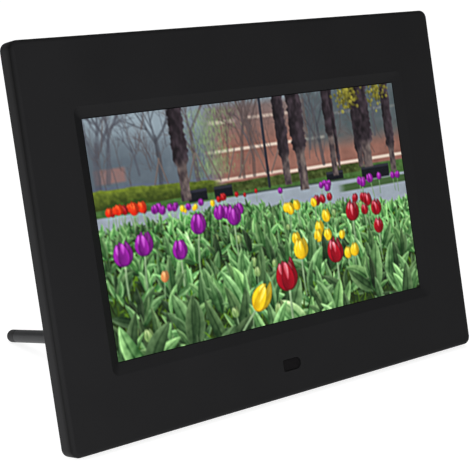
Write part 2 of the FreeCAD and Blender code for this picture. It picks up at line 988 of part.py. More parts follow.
def floor_level():
    """Height of the floor under the upright origin once the frame leans back on its lower rear edge."""
    angle = math.radians(lean)
    rise = math.cos(angle) * rear_edge_radius
    drop = math.sin(angle) * (surround_depth - rear_edge_radius)
    return rise - drop - rear_edge_radius


def rod_tip_centre():
    """Depth of the centre of the rod's round tip, where the tip just touches the floor."""
    angle = math.radians(lean)
    above = math.cos(angle) * rod_height - floor_level() - rod_radius
    return above / math.sin(angle)


def stand_rod():
    """The stand rod, bored for its stud at one end and turned down to a spigot at the other."""
    end = rod_tip_centre() + rod_radius - foot_length
    rod = peg(rod_radius, socket_face, end, rod_x, rod_height)
    rod = round_edges(rod, 0.3, lambda edge: at_depth(edge, end) or at_depth(edge, socket_face))
    spigot = peg(foot_spigot_radius, end, end + foot_spigot_length, rod_x, rod_height)
    bore = peg(stud_radius, socket_face - 1, socket_face + stud_inset, rod_x, rod_height)
    return rod.fuse(spigot).cut(bore).removeSplitter()


def stand_stud():
    """The M4 stud fixed in the end of the rod."""
    front = socket_face - stud_length
    stud = peg(stud_radius, front, socket_face + stud_inset, rod_x, rod_height)
    return stud.makeChamfer(0.4, [edge for edge in stud.Edges if at_depth(edge, front)])


def rod_foot():
    """The rubber foot on the rod's tip, with a round end."""
    centre = rod_tip_centre()
    front = centre + rod_radius - foot_length + foot_clearance
    barrel = peg(rod_radius, front, centre, rod_x, rod_height)
    tip = Part.makeSphere(rod_radius, Vector(rod_x, centre, rod_height))
    tip = tip.common(peg(rod_radius + 1, centre, centre + rod_radius + 1, rod_x, rod_height))
    bore_end = front + foot_spigot_length
    bore = peg(foot_spigot_radius + foot_clearance, front - 1, bore_end, rod_x, rod_height)
    return barrel.fuse(tip).cut(bore).removeSplitter()


def case_screws():
    """The eight countersunk screws of the rear cover."""
    screws = []
    for x, z in case_screw_places():
        shank = peg(case_screw_radius, face_thickness + 0.8, surround_depth - case_screw_cone, x, z)
        screws.append(shank.fuse(screw_cone(x, z)).cut(cross_recess(x, z)).removeSplitter())
    return Part.makeCompound(screws)


def cross_recess(x, z):
    """The cross-shaped recess in a case screw's head."""
    arm = 1.1
    half = 0.22
    front = surround_depth - 0.5
    back = surround_depth + 1
    upright = box(x - half, x + half, front, back, z - arm, z + arm)
    return upright.fuse(box(x - arm, x + arm, front, back, z - half, z + half))


def pan_screw(x, z, head_back):
    """A pan-head screw driven towards the back, with its head's underside at head_back."""
    head_front = head_back - board_screw_head_height
    head = peg(board_screw_head, head_front, head_back, x, z)
    head = round_edges(head, 0.4, lambda edge: at_depth(edge, head_front))
    shank = peg(board_screw_radius, head_back, head_back + board_screw_reach, x, z)
    return head.fuse(shank).removeSplitter()


def board_screw_group():
    """The four screws of the main board."""
    return Part.makeCompound([pan_screw(x, z, board_front) for x, z in board_screws])


def key_board_screws():
    """The two screws of the key board."""
    head_back = switch_front - key_board_thickness
    places = (-key_board_screw_x, key_board_screw_x)
    return Part.makeCompound([pan_screw(x, key_z, head_back) for x in places])


def pieces():
    """Every piece by its node name, still upright."""
    made = {
        "front_frame": front_frame(),
        "ir_window": ir_window(),
        "ir_receiver": ir_receiver(),
        "ir_board": ir_board(),
        "display_glass": display_glass(),
        "light_guide": light_guide(),
        "led_strip": led_strip(),
        "backlight_tray": backlight_tray(),
        "lcd_flex": lcd_flex(),
        "flex_connector": flex_connector(),
        "foam_pads": foam_pads(),
        "rear_cover": rear_cover(),
        "main_board": main_board(),
        "processor_chip": processor_chip(),
        "memory_chip": memory_chip(),
        "flash_chip": flash_chip(),
        "power_chip": power_chip(),
        "crystal": crystal(),
        "inductors": inductors(),
        "capacitors": capacitors(),
        "cell_holder": cell_holder(),
        "coin_cell": coin_cell(),
        "lead_connectors": lead_connectors(),
        "usb_socket": usb_socket(),
        "card_socket": card_socket(),
        "dc_jack": dc_jack(),
        "headphone_jack": headphone_jack(),
        "speaker_left": speaker(-speaker_x),
        "speaker_right": speaker(speaker_x),
        "speaker_lead_left": speaker_lead_left(),
        "speaker_lead_right": speaker_lead_right(),
        "ir_lead": ir_lead(),
        "key_board": key_board(),
        "key_switches": key_switches(),
        "key_cable": key_cable(),
        "landscape_socket": stand_socket(rod_x, rod_height),
        "portrait_socket": stand_socket(portrait_x, portrait_z),
        "stand_rod": stand_rod(),
        "stand_stud": stand_stud(),
        "rod_foot": rod_foot(),
        "case_screws": case_screws(),
        "board_screws": board_screw_group(),
        "key_board_screws": key_board_screws(),
    }
    for name, x in key_places():
        made["key_" + name] = key_cap(x)
        made["plunger_" + name] = key_plunger(x)
    return made


def standing():
    """The placement that leans the frame back and centres its outline over the origin."""
    angle = math.radians(lean)
    tip_back = math.cos(angle) * rod_tip_centre() + math.sin(angle) * rod_height + rod_radius
    rounding = front_edge_radius * (math.cos(angle) + math.sin(angle) - 1)
    centre_y = (tip_back + rounding) / 2
    turn = FreeCAD.Rotation(Vector(1, 0, 0), -lean)
    return FreeCAD.Placement(Vector(0, -centre_y, -floor_level()), turn)


def main():
    os.makedirs("parts", exist_ok=True)
    place = standing().toMatrix()
    for name, shape in pieces().items():
        stood = shape.copy()
        stood.transformShape(place, True)
        stood.exportStep("parts/" + name + ".step")


main()
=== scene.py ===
"""Looks for the digital photo frame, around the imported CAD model.

Blender 4.5, metres. The CAD nodes keep their places and shapes and get materials here. Two nodes are
replaced by finer pieces, and the display gets a painted garden. New pieces are modelled in the frame's
own upright coordinates: x to the right seen from the front, y backwards from the front face, and z up
the front face from its lower edge. The whole object leans back, so one matrix takes those into the row
frame.
"""
import json
import math
from types import SimpleNamespace

import bmesh
import bpy
import numpy as np
from mathutils import Matrix, Vector


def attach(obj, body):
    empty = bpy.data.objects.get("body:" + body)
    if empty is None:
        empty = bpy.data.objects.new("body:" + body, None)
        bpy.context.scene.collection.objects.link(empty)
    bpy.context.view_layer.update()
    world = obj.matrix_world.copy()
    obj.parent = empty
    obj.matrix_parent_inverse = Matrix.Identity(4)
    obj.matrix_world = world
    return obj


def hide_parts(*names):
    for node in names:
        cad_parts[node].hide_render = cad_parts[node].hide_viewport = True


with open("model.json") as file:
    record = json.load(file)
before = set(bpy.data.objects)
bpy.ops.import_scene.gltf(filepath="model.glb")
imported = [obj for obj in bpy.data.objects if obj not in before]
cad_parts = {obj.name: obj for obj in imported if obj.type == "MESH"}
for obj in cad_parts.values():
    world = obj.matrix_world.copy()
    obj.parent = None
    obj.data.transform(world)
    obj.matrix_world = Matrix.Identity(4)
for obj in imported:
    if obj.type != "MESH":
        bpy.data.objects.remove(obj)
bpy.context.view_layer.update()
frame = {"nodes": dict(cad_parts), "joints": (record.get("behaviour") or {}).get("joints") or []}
nodes = frame["nodes"]
MM = 0.001


# ---------------------------------------------------------------- the leaning coordinates
def joint(name):
    """What the frame says about a joint."""
    return next(entry for entry in frame["joints"] if entry["name"] == name)


ACROSS = Vector((1.0, 0.0, 0.0))
BACK = Vector(joint("rod_turn")["axis"]).normalized()
UP = Vector((0.0, -BACK.z, BACK.y))


def reach(node, direction):
    """How far a CAD node starts and ends along a direction of the row frame."""
    distances = [vertex.co.dot(direction) for vertex in nodes[node].data.vertices]
    return min(distances), max(distances)


FACE_DEPTH = reach("front_frame", BACK)[0]
FACE_FOOT = reach("front_frame", UP)[0]
UPRIGHT = Matrix.Translation(BACK * FACE_DEPTH + UP * FACE_FOOT)
UPRIGHT @= Matrix((ACROSS, BACK, UP)).transposed().to_4x4()


def extent(node):
    """The upright box of a CAD node."""
    left, right = reach(node, ACROSS)
    front, back = reach(node, BACK)
    low, high = reach(node, UP)
    return SimpleNamespace(
        left=left,
        right=right,
        front=front - FACE_DEPTH,
        back=back - FACE_DEPTH,
        low=low - FACE_FOOT,
        high=high - FACE_FOOT,
        x=(left + right) / 2,
        z=(low + high) / 2 - FACE_FOOT,
    )


# ---------------------------------------------------------------- meshes
def sheet_faces(rows, columns, closed):
    """The faces of a grid of points. A closed grid joins its last column to its first."""
    faces = []
    for row in range(rows - 1):
        for column in range(columns if closed else columns - 1):
            following = (column + 1) % columns
            here = row * columns
            above = here + columns
            faces.append((here + column, here + following, above + following, above + column))
    return faces


def face_outwards(mesh):
    """Turns every face of a closed mesh outwards."""
    work = bmesh.new()
    work.from_mesh(mesh)
    bmesh.ops.recalc_face_normals(work, faces=work.faces)
    work.to_mesh(mesh)
    work.free()


def placed(name, data, matrix=None):
    """A new object in the scene."""
    thing = bpy.data.objects.new(name, data)
    bpy.context.scene.collection.objects.link(thing)
    if matrix is not None:
        thing.matrix_world = matrix
    return thing


def add_piece(name, points, faces, body, slot, material, smooth=None, replaced=()):
    """Makes an object of upright points, gives it its finish and hangs it on a CAD body."""
    mesh = bpy.data.meshes.new(name)
    mesh.from_pydata([tuple(point) for point in points], [], faces)
    mesh.validate()
    face_outwards(mesh)
    mesh.materials.append(material)
    if smooth is not None:
        mesh.shade_smooth()
        mesh.set_sharp_from_angle(angle=math.radians(smooth))
    piece = placed(name, mesh, UPRIGHT)
    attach(piece, body)
    if replaced:
        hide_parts(*replaced)
    return piece


def turned(profile, centre, sides, hollow=False):
    """Points and faces of a lathe shape. The profile is (depth, radius) pairs along the axis.

    The axis runs along x through centre as (y, z). A hollow shape's profile goes all round its wall, and
    a solid shape gets a flat face at each end.
    """
    points = []
    for depth, radius in profile:
        for side in range(sides):
            angle = 2 * math.pi * side / sides
            aside = centre[0] + radius * math.cos(angle)
            height = centre[1] + radius * math.sin(angle)
            points.append((depth, aside, height))
    faces = sheet_faces(len(profile), sides, True)
    first = (len(profile) - 1) * sides
    if hollow:
        for side in range(sides):
            following = (side + 1) % sides
            faces.append((first + side, first + following, following, side))
        return points, faces
    faces.append(tuple(range(sides)))
    faces.append(tuple(range(first, first + sides)))
    return points, faces


def prism_faces(count):
    """The faces between two outlines of this many points, and over both of them."""
    faces = [tuple(range(count)), tuple(range(count, 2 * count))]
    for index in range(count):
        following = (index + 1) % count
        faces.append((index, following, count + following, count + index))
    return faces


def prism(outline, front, back):
    """Points and faces of a flat shape, given as (x, z) pairs, with a thickness along y."""
    points = [(x, front, z) for x, z in outline] + [(x, back, z) for x, z in outline]
    return points, prism_faces(len(outline))


def upright_prism(outline, low, high):
    """Points and faces of a flat shape, given as (x, y) pairs, with a thickness along z."""
    points = [(x, y, low) for x, y in outline] + [(x, y, high) for x, y in outline]
    return points, prism_faces(len(outline))


def joined(*shapes):
    """Several (points, faces) shapes as one."""
    points, faces = [], []
    for more_points, more_faces in shapes:
        offset = len(points)
        points.extend(more_points)
        faces.extend(tuple(index + offset for index in face) for face in more_faces)
    return points, faces


# ---------------------------------------------------------------- materials
def linear(red, green, blue):
    """A colour given in the usual 0 to 255 numbers, as the linear colour that shaders use."""
    parts = [value / 255 for value in (red, green, blue)]
    parts = [v / 12.92 if v <= 0.04045 else ((v + 0.055) / 1.055) ** 2.4 for v in parts]
    return (*parts, 1.0)


WHITE = (1.0, 1.0, 1.0, 1.0)


class Graph:
    """A node tree, with the sums that the finishes and the room share."""

    def __init__(self, tree):
        self.tree = tree

    def add(self, kind, **inputs):
        """A new node with its inputs set to values or linked to other sockets."""
        node = self.tree.nodes.new(kind)
        for label, value in inputs.items():
            self.put(node.inputs[label.replace("_", " ")], value)
        return node

    def put(self, socket, value):
        """Sets a socket to a value, or links it. A colour may be given as three 0 to 255 numbers."""
        if isinstance(value, bpy.types.NodeSocket):
            self.tree.links.new(value, socket)
        elif socket.type == "RGBA" and len(value) == 3:
            socket.default_value = linear(*value)
        else:
            socket.default_value = value

    def math(self, operation, first, second=0.0):
        """A sum on one or two numbers."""
        node = self.add("ShaderNodeMath")
        node.operation = operation
        self.put(node.inputs[0], first)
        self.put(node.inputs[1], second)
        return node.outputs["Value"]

    def along(self, vector, direction, start):
        """How far a vector reaches along a direction, counted from start."""
        node = self.add("ShaderNodeVectorMath")
        node.operation = "DOT_PRODUCT"
        self.put(node.inputs[0], vector)
        self.put(node.inputs[1], tuple(direction))
        return self.math("SUBTRACT", node.outputs["Value"], start)

    def between(self, amount, low, high, first=0.0, last=1.0):
        """A number that goes from first to last as amount goes from low to high."""
        node = self.add("ShaderNodeMapRange", Value=amount)
        for index, value in enumerate((low, high, first, last), start=1):
            self.put(node.inputs[index], value)
        return node.outputs["Result"]

    def colours(self, amount, first, last):
        """A colour that goes from first to last as amount goes from 0 to 1."""
        node = self.add("ShaderNodeMix", Factor=amount)
        node.data_type = "RGBA"
        colour_inputs = [socket for socket in node.inputs if socket.type == "RGBA"]
        self.put(colour_inputs[0], first)
        self.put(colour_inputs[1], last)
        return next(socket for socket in node.outputs if socket.type == "RGBA")


class Finish(Graph):
    """A node material around one Principled shader."""

    def __init__(self, name):
        self.material = bpy.data.materials.new(name)
        self.material.use_nodes = True
        super().__init__(self.material.node_tree)
        self.surface = self.tree.nodes["Principled BSDF"]
        self.place = self.add("ShaderNodeTexCoord").outputs["Object"]

    def fixed(self, **values):
        """Sets what is the same all over the surface on the shader itself."""
        for label, value in values.items():
            self.surface.inputs[label.replace("_", " ")].default_value = value

    def stretched_place(self, x, y, z):
        """Object coordinates stretched along an axis, so that a texture on them gets longer there."""
        node = self.add("ShaderNodeMapping", Vector=self.place, Scale=(1 / x, 1 / y, 1 / z))
        return node.outputs["Vector"]

    def noise(self, size, detail=2.0, place=None):
        """Soft random values, with features about this many metres across."""
        node = self.add("ShaderNodeTexNoise", Vector=place or self.place, Scale=1 / size, Detail=detail)
        return node.outputs["Fac"]

    def cells(self, size, feature="F1"):
        """Distances in a pattern of cells about this many metres across."""
        node = self.add("ShaderNodeTexVoronoi", Vector=self.place, Scale=1 / size)
        node.feature = feature
        return node.outputs["Distance"]

    def paint(self, amount, first, last):
        """The base colour, from first to last as amount goes from 0 to 1."""
        self.put(self.surface.inputs["Base Color"], self.colours(amount, first, last))

    def rough(self, amount, first, last):
        """The roughness, from first to last over the middle of the range of amount."""
        self.put(self.surface.inputs["Roughness"], self.between(amount, 0.3, 0.7, first, last))

    def relief(self, amount, depth):
        """Raises the surface by up to this many metres where amount is 1."""
        bump = self.add("ShaderNodeBump", Height=amount, Distance=depth, Strength=1.0)
        self.put(self.surface.inputs["Normal"], bump.outputs["Normal"])


def shade(colour, factor):
    """A colour given in the usual 0 to 255 numbers, made darker or lighter, as a linear colour."""
    return (*(part * factor for part in linear(*colour)[:3]), 1.0)


def moulded(finish, colour, rough, grain, depth, blotch):
    """Moulded plastic: a fine even grain from the mould, and slow changes in tone and gloss.

    The grain, its depth and the size of the slow changes are in millimetres.
    """
    slow = finish.noise(blotch * MM, 3.0)
    fine = finish.noise(grain * MM, 1.0)
    finish.paint(slow, shade(colour, 0.88), shade(colour, 1.14))
    finish.rough(slow, rough - 0.03, rough + 0.03)
    finish.relief(fine, depth * MM)


def brushed_metal(finish, colour, rough, line, along):
    """Bare metal with fine drawn lines, this many millimetres wide, and a slightly uneven gloss."""
    finish.fixed(Metallic=1.0)
    lines = finish.noise(line * MM, 2.0, finish.stretched_place(*along))
    slow = finish.noise(line * MM * 30, 2.0)
    finish.paint(slow, shade(colour, 0.86), shade(colour, 1.08))
    finish.rough(lines, rough - 0.08, rough + 0.1)
    finish.relief(lines, line * MM * 0.05)


# Each row is one material: its colour and roughness, and the sizes that moulded() asks for.
MOULDED = {
    # The rear cover, with a coarser spark-eroded grain
    "cover": ((23, 23, 24), 0.55, 0.55, 0.022, 22),
    # The key caps, polished by fingers, and the raised marks on them
    "key": ((30, 30, 31), 0.4, 0.3, 0.006, 4),
    "key_mark": ((176, 178, 180), 0.55, 0.15, 0.004, 1),
    # The switch plungers, in red-brown nylon
    "plunger": ((122, 42, 30), 0.45, 0.3, 0.004, 2),
    # Socket and switch bodies in black nylon, and connectors in ivory nylon
    "black_plastic": ((26, 26, 27), 0.5, 0.4, 0.01, 5),
    "white_plastic": ((226, 222, 206), 0.42, 0.4, 0.006, 4),
    # Chip packages in matt black epoxy, and inductors in grey sintered ferrite
    "chip": ((34, 34, 35), 0.6, 0.18, 0.012, 3),
    "ferrite": ((64, 62, 62), 0.7, 0.25, 0.02, 1.5),
}

# Each row is one material: its colour and roughness, its lines' width and how far they stretch.
BRUSHED = {
    # The display tray, in rolled steel sheet with a dull zinc coat
    "sheet_steel": ((168, 170, 172), 0.38, 0.25, (14.0, 1.0, 1.0)),
    # Socket shells, screws and cans, in nickel-plated steel
    "bright_steel": ((196, 196, 194), 0.27, 0.15, (8.0, 1.0, 1.0)),
    # The capacitor cans, in drawn aluminium
    "can_aluminium": ((186, 188, 190), 0.3, 0.12, (1.0, 10.0, 1.0)),
    # The threaded sockets, in turned brass, a little tarnished
    "brass": ((196, 158, 84), 0.3, 0.12, (1.0, 8.0, 8.0)),
    # The contacts in the sockets, with thin gold plate
    "gold_contact": ((214, 172, 92), 0.22, 0.1, (6.0, 1.0, 1.0)),
}


def side_painted_shade(finish):
    """The surround's tone on its sides, with painted shade: a dark line of painted shade runs where they
    round into its face.
    """
    line_depth = 1.5 * MM  # how far behind the face the line runs
    full_depth = 4.0 * MM  # how far behind it the sides have their full tone again
    shade_line_tone = 0.22  # how much of its tone is left in the line
    # painted shade: the base colour is darkened in a line a little behind the face
    depth = finish.along(finish.place, BACK, FACE_DEPTH)
    ahead = finish.between(depth, 0.0, line_depth, 1.0, shade_line_tone)
    behind = finish.between(depth, line_depth, full_depth, shade_line_tone, 1.0)
    return finish.math("MAXIMUM", ahead, behind)


def bevel_painted_light(finish):
    """The surround's tone round the display, as painted light: painted shade on the left bevel, more
    painted light on the lower one.
    """
    left_painted_shade = 0.5
    level_painted_light = (0.84, 1.16)  # of the bevels that face down and up
    # painted shade and light: the base colour is darker or lighter by which way each bevel faces
    facing = finish.add("ShaderNodeNewGeometry").outputs["Normal"]
    left_bevel = finish.between(finish.along(facing, ACROSS, 0.0), 0.1, 0.5, 1.0, left_painted_shade)
    level_bevels = finish.between(finish.along(facing, UP, 0.0), -0.5, 0.5, *level_painted_light)
    return finish.math("MULTIPLY", left_bevel, level_bevels)


def rim_share(finish):
    """1 on the outer rim of the surround, which has the painted shade of the sides, and 0 inside it."""
    rim, blend = 4.0 * MM, 2.0 * MM
    box = extent("front_frame")
    near = []
    for direction, middle, half in (
        (ACROSS, box.x, box.right - box.x),
        (UP, FACE_FOOT + box.z, box.high - box.z),
    ):
        off_centre = finish.math("ABSOLUTE", finish.along(finish.place, direction, middle))
        near.append(finish.between(off_centre, half - rim - blend, half - rim))
    return finish.math("MAXIMUM", *near)


def surround_finish(finish):
    """The front moulding: satin black plastic, with darker and lighter tones of painted shade and light
    on its edges.
    """
    moulded(finish, (33, 33, 34), 0.55, 0.3, 0.0025, 30)
    finish.fixed(Specular_IOR_Level=0.05)
    # the base colour is scaled by painted shade and light: the sides' dark line on the rim, the bevels'
    # tones inside it
    base = finish.surface.inputs["Base Color"]
    tone = finish.between(rim_share(finish), 0.0, 1.0, bevel_painted_light(finish), side_painted_shade(finish))
    shaded_base = finish.add("ShaderNodeVectorMath")
    shaded_base.operation = "SCALE"
    finish.put(shaded_base.inputs[0], base.links[0].from_socket)
    finish.put(shaded_base.inputs["Scale"], tone)
    finish.put(base, shaded_base.outputs["Vector"])


def lens_finish(finish):
    """The remote window: polished plastic that is nearly black to the eye, a little violet."""
    slow = finish.noise(3 * MM, 2.0)
    finish.paint(slow, (11, 10, 11), (16, 14, 16))
    finish.rough(slow, 0.16, 0.22)
    finish.relief(finish.noise(6 * MM, 1.0), 0.01 * MM)
    finish.fixed(Specular_IOR_Level=0.12)


def acrylic_finish(finish):
    """The light guide: clear acrylic with fine printed dots that send light forward."""
    dots = finish.cells(1.4 * MM)
    finish.paint(finish.between(dots, 0.2, 0.3), (250, 250, 250), (226, 232, 236))
    finish.rough(dots, 0.05, 0.35)
    finish.fixed(Transmission_Weight=0.35, IOR=1.49)


def lamp_board_finish(finish):
    """The lamp strip: white lacquer with yellow phosphor in the lamps."""
    patch = finish.cells(3 * MM)
    finish.paint(finish.between(patch, 0.3, 0.34), (238, 206, 92), (232, 232, 226))
    finish.rough(finish.noise(2 * MM), 0.25, 0.5)
    finish.relief(patch, 0.02 * MM)


def flat_cable_finish(finish):
    """Flat cables: amber film over parallel copper tracks."""
    tracks = finish.add("ShaderNodeTexWave", Vector=finish.place, Scale=1 / (4 * MM))
    tracks.bands_direction = "X"
    finish.paint(tracks.outputs["Fac"], (150, 92, 30), (196, 138, 62))
    finish.rough(finish.noise(5 * MM), 0.25, 0.4)
    finish.relief(tracks.outputs["Fac"], 0.02 * MM)


def foam_finish(finish):
    """The foam strips: dark open cells, with painted shade in the middle of each pit, where the surface
    also dips.
    """
    pits_and_shade = finish.cells(0.5 * MM)
    # painted shade: the colour is darkest where the cells dip
    finish.paint(pits_and_shade, (26, 26, 28), (70, 70, 72))
    finish.rough(pits_and_shade, 0.85, 1.0)
    finish.relief(pits_and_shade, 0.2 * MM)


def circuit_board_finish(finish):
    """Circuit boards: green lacquer over copper tracks, with small tinned pads."""
    tracks = finish.cells(2.6 * MM, "DISTANCE_TO_EDGE")
    laid = finish.between(tracks, 0.06, 0.09, 1.0, 0.0)
    green = finish.colours(laid, (18, 66, 40), (38, 98, 58))
    pads = finish.between(finish.cells(1.9 * MM), 0.12, 0.15, 1.0, 0.0)
    finish.paint(pads, green, (190, 188, 176))
    finish.put(finish.surface.inputs["Metallic"], pads)
    finish.rough(finish.noise(3 * MM), 0.25, 0.4)
    finish.relief(laid, 0.03 * MM)


def speaker_finish(finish):
    """Loudspeakers: black pulp paper with visible fibres."""
    fibres = finish.noise(0.4 * MM, 4.0, finish.stretched_place(3.0, 1.0, 1.0))
    finish.paint(fibres, (24, 23, 22), (48, 46, 44))
    finish.rough(fibres, 0.75, 0.95)
    finish.relief(fibres, 0.06 * MM)


def lead_finish(finish):
    """Inner leads: soft dark grey insulation that changes in tone along the run."""
    slow = finish.noise(4 * MM, 1.0)
    finish.paint(finish.between(slow, 0.45, 0.55), (30, 28, 28), (44, 40, 40))
    finish.rough(slow, 0.35, 0.5)
    finish.relief(finish.noise(0.5 * MM), 0.01 * MM)


def rod_finish(finish):
    """The stand rod: steel with a satin dark grey coat, slightly speckled."""
    grains = finish.noise(0.5 * MM, 2.0)
    slow = finish.noise(9 * MM, 2.0)
    finish.paint(slow, (35, 36, 38), (43, 44, 46))
    finish.rough(grains, 0.36, 0.46)
    finish.relief(grains, 0.012 * MM)
    finish.fixed(Metallic=0.2, Specular_IOR_Level=0.3)


def rubber_finish(finish):
    """The rod's foot: black rubber, mottled with dust and wear."""
    wear = finish.noise(1.3 * MM, 4.0)
    finish.paint(finish.between(wear, 0.42, 0.68), (20, 20, 21), (50, 50, 52))
    finish.rough(wear, 0.6, 0.85)
    finish.relief(finish.noise(0.4 * MM, 2.0), 0.03 * MM)


def black_screw_finish(finish):
    """The case screws: black zinc, rubbed bright in places."""
    wear = finish.noise(0.8 * MM, 3.0)
    finish.fixed(Metallic=1.0)
    finish.paint(finish.between(wear, 0.5, 0.7), (48, 48, 50), (120, 120, 122))
    finish.rough(wear, 0.32, 0.5)
    finish.relief(wear, 0.01 * MM)


PICTURE_LAYER = "picture"


def display_finish(finish):
    """The liquid crystal cell: black when off, satin film on the front, and lit by the picture on it."""
    slow = finish.noise(14 * MM, 2.0)
    film = finish.colours(slow, (7, 8, 10), (11, 12, 14))
    finish.rough(slow, 0.3, 0.36)
    finish.relief(finish.noise(0.3 * MM), 0.001 * MM)
    picture = finish.add("ShaderNodeAttribute")
    picture.attribute_name = PICTURE_LAYER
    finish.paint(0.3, film, picture.outputs["Color"])
    finish.put(finish.surface.inputs["Emission Color"], picture.outputs["Color"])
    finish.fixed(Emission_Strength=0.85, Specular_IOR_Level=0.1)
    finish.material.cycles.emission_sampling = "NONE"


SPECIAL_FINISHES = {
    "surround": surround_finish,
    "dark_lens": lens_finish,
    "display": display_finish,
    "clear_acrylic": acrylic_finish,
    "lamp_board": lamp_board_finish,
    "flat_cable": flat_cable_finish,
    "foam": foam_finish,
    "circuit_board": circuit_board_finish,
    "speaker": speaker_finish,
    "lead": lead_finish,
    "rod": rod_finish,
    "rubber": rubber_finish,
    "black_screw": black_screw_finish,
}


def make_materials():
    """Every material, by the name of its slot."""
    finishes = {slot: Finish(slot) for slot in (*MOULDED, *BRUSHED, *SPECIAL_FINISHES)}
    for slot, row in MOULDED.items():
        moulded(finishes[slot], *row)
    for slot, row in BRUSHED.items():
        brushed_metal(finishes[slot], *row)
    for slot, dress in SPECIAL_FINISHES.items():
        dress(finishes[slot])
    return {slot: finish.material for slot, finish in finishes.items()}


def dress_cad_nodes(made):
    """Gives every CAD node the material of the record's slot that it came with."""
    for node in nodes.values():
        for place in node.material_slots:
            place.material = made[place.material.name.split(".")[0]]


# ---------------------------------------------------------------- the picture on the display
# A garden of tulips, painted by code in fractions of the picture's height: x runs from 0 to its aspect.
PICTURE_ASPECT = 16 / 9
PICTURE_COLUMNS = 400
PICTURE_ROWS = 225
OVERSAMPLE = 3


def rgb(red, green, blue):
    """A colour given in the usual 0 to 255 numbers, as 0 to 1."""
    return np.array((red, green, blue), float) / 255


MIST = rgb(112, 126, 136)
SKY = rgb(158, 174, 184)
BRICK = rgb(146, 98, 84)
BRICK_PALE = rgb(218, 200, 184)
BARK_DARK = rgb(38, 32, 36)
BARK_PALE = rgb(122, 108, 102)
HEDGE_DARK = rgb(52, 66, 22)
HEDGE_PALE = rgb(122, 138, 48)
PAVING = rgb(146, 156, 166)
LAWN = rgb(70, 104, 52)
SOIL = rgb(24, 40, 18)
LEAF_DARK = rgb(24, 62, 24)
LEAF_MID = rgb(100, 156, 78)
LEAF_PALE = rgb(198, 238, 182)
GRASS = rgb(94, 138, 30)

TULIPS = {
    "purple": (rgb(74, 10, 84), rgb(158, 36, 166), rgb(216, 124, 224)),
    "crimson": (rgb(92, 4, 16), rgb(176, 14, 34), rgb(250, 190, 196)),
    "yellow": (rgb(196, 150, 10), rgb(246, 214, 40), rgb(255, 248, 150)),
    "orange": (rgb(176, 26, 10), rgb(230, 64, 24), rgb(250, 150, 74)),
    "peach": (rgb(166, 96, 54), rgb(224, 158, 92), rgb(250, 214, 160)),
    "red": (rgb(104, 8, 14), rgb(188, 22, 30), rgb(236, 110, 100)),
    "bud": (rgb(84, 118, 66), rgb(142, 172, 104), rgb(204, 220, 164)),
}

# How much wider than a closed tulip some kinds are
OPENNESS = {"purple": 1.35, "crimson": 1.25, "orange": 1.2, "yellow": 1.1}


class Canvas:
    """A grid of colours with its own random numbers, painted from back to front."""

    def __init__(self, seed):
        self.rows = PICTURE_ROWS * OVERSAMPLE
        self.columns = PICTURE_COLUMNS * OVERSAMPLE
        self.dot = 1.0 / self.rows
        across = (np.arange(self.columns) + 0.5) * PICTURE_ASPECT / self.columns
        upward = (np.arange(self.rows) + 0.5) / self.rows
        self.x, self.y = np.meshgrid(across, upward)
        self.colour = np.zeros((self.rows, self.columns, 3))
        self.random = np.random.default_rng(seed)
        self.draw = self.random.uniform
        self.mottle = self.noise(46, 40, 2)
        self.drift = self.noise(7, 9, 2)

    def window(self, left, right, low, high):
        """The part of the grid between these limits, or None if it holds nothing."""
        c0 = max(int(left / PICTURE_ASPECT * self.columns) - 1, 0)
        c1 = min(int(right / PICTURE_ASPECT * self.columns) + 2, self.columns)
        r0 = max(int(low * self.rows) - 1, 0)
        r1 = min(int(high * self.rows) + 2, self.rows)
        if c0 >= c1 or r0 >= r1:
            return None
        return slice(r0, r1), slice(c0, c1)

    def lay(self, part, colour, cover):
        """Paints a colour over part of the grid, as strongly as cover says."""
        under = self.colour[part]
        strength = cover[..., None]
        self.colour[part] = under * (1 - strength) + colour * strength

    def wash(self, colour, amount):
        """Mixes a colour into the whole grid."""
        self.colour[:] = mixed(self.colour, colour, amount)

    def noise(self, across, upward, octaves=3):
        """Smooth random values from 0 to 1, with features about 1/across wide and 1/upward high."""
        total = np.zeros((self.rows, self.columns))
        weight = 1.0
        for octave in range(octaves):
            scale = 2**octave
            wide = int(across * scale * PICTURE_ASPECT) + 2
            high = int(upward * scale) + 2
            total += weight * stretched(self.random.random((high, wide)), self.rows, self.columns)
            weight *= 0.55
        low, top = total.min(), total.max()
        return (total - low) / (top - low)


def stretched(values, rows, columns):
    """A small grid of values spread smoothly over a large one."""
    down = np.linspace(0, values.shape[0] - 1.001, rows)
    over = np.linspace(0, values.shape[1] - 1.001, columns)
    r, c = down.astype(int), over.astype(int)
    fr = smooth(down - r)[:, None]
    fc = smooth(over - c)[None, :]
    upper = values[np.ix_(r, c)] * (1 - fc) + values[np.ix_(r, c + 1)] * fc
    lower = values[np.ix_(r + 1, c)] * (1 - fc) + values[np.ix_(r + 1, c + 1)] * fc
    return upper * (1 - fr) + lower * fr


def smooth(t):
    """A soft start and a soft stop between 0 and 1."""
    return t * t * (3 - 2 * t)


def unit(values):
    """Values held between 0 and 1."""
    return np.clip(values, 0, 1)


def band(values, low, high, blur):
    """1 between low and high, fading to 0 over blur at each end."""
    rise = unit((values - low) / blur + 0.5)
    fall = unit((high - values) / blur + 0.5)
    return rise * fall


def mixed(first, second, amount):
    """Two colours mixed by an array of amounts from 0 to 1."""
    amount = unit(amount)[..., None]
    return first * (1 - amount) + second * amount


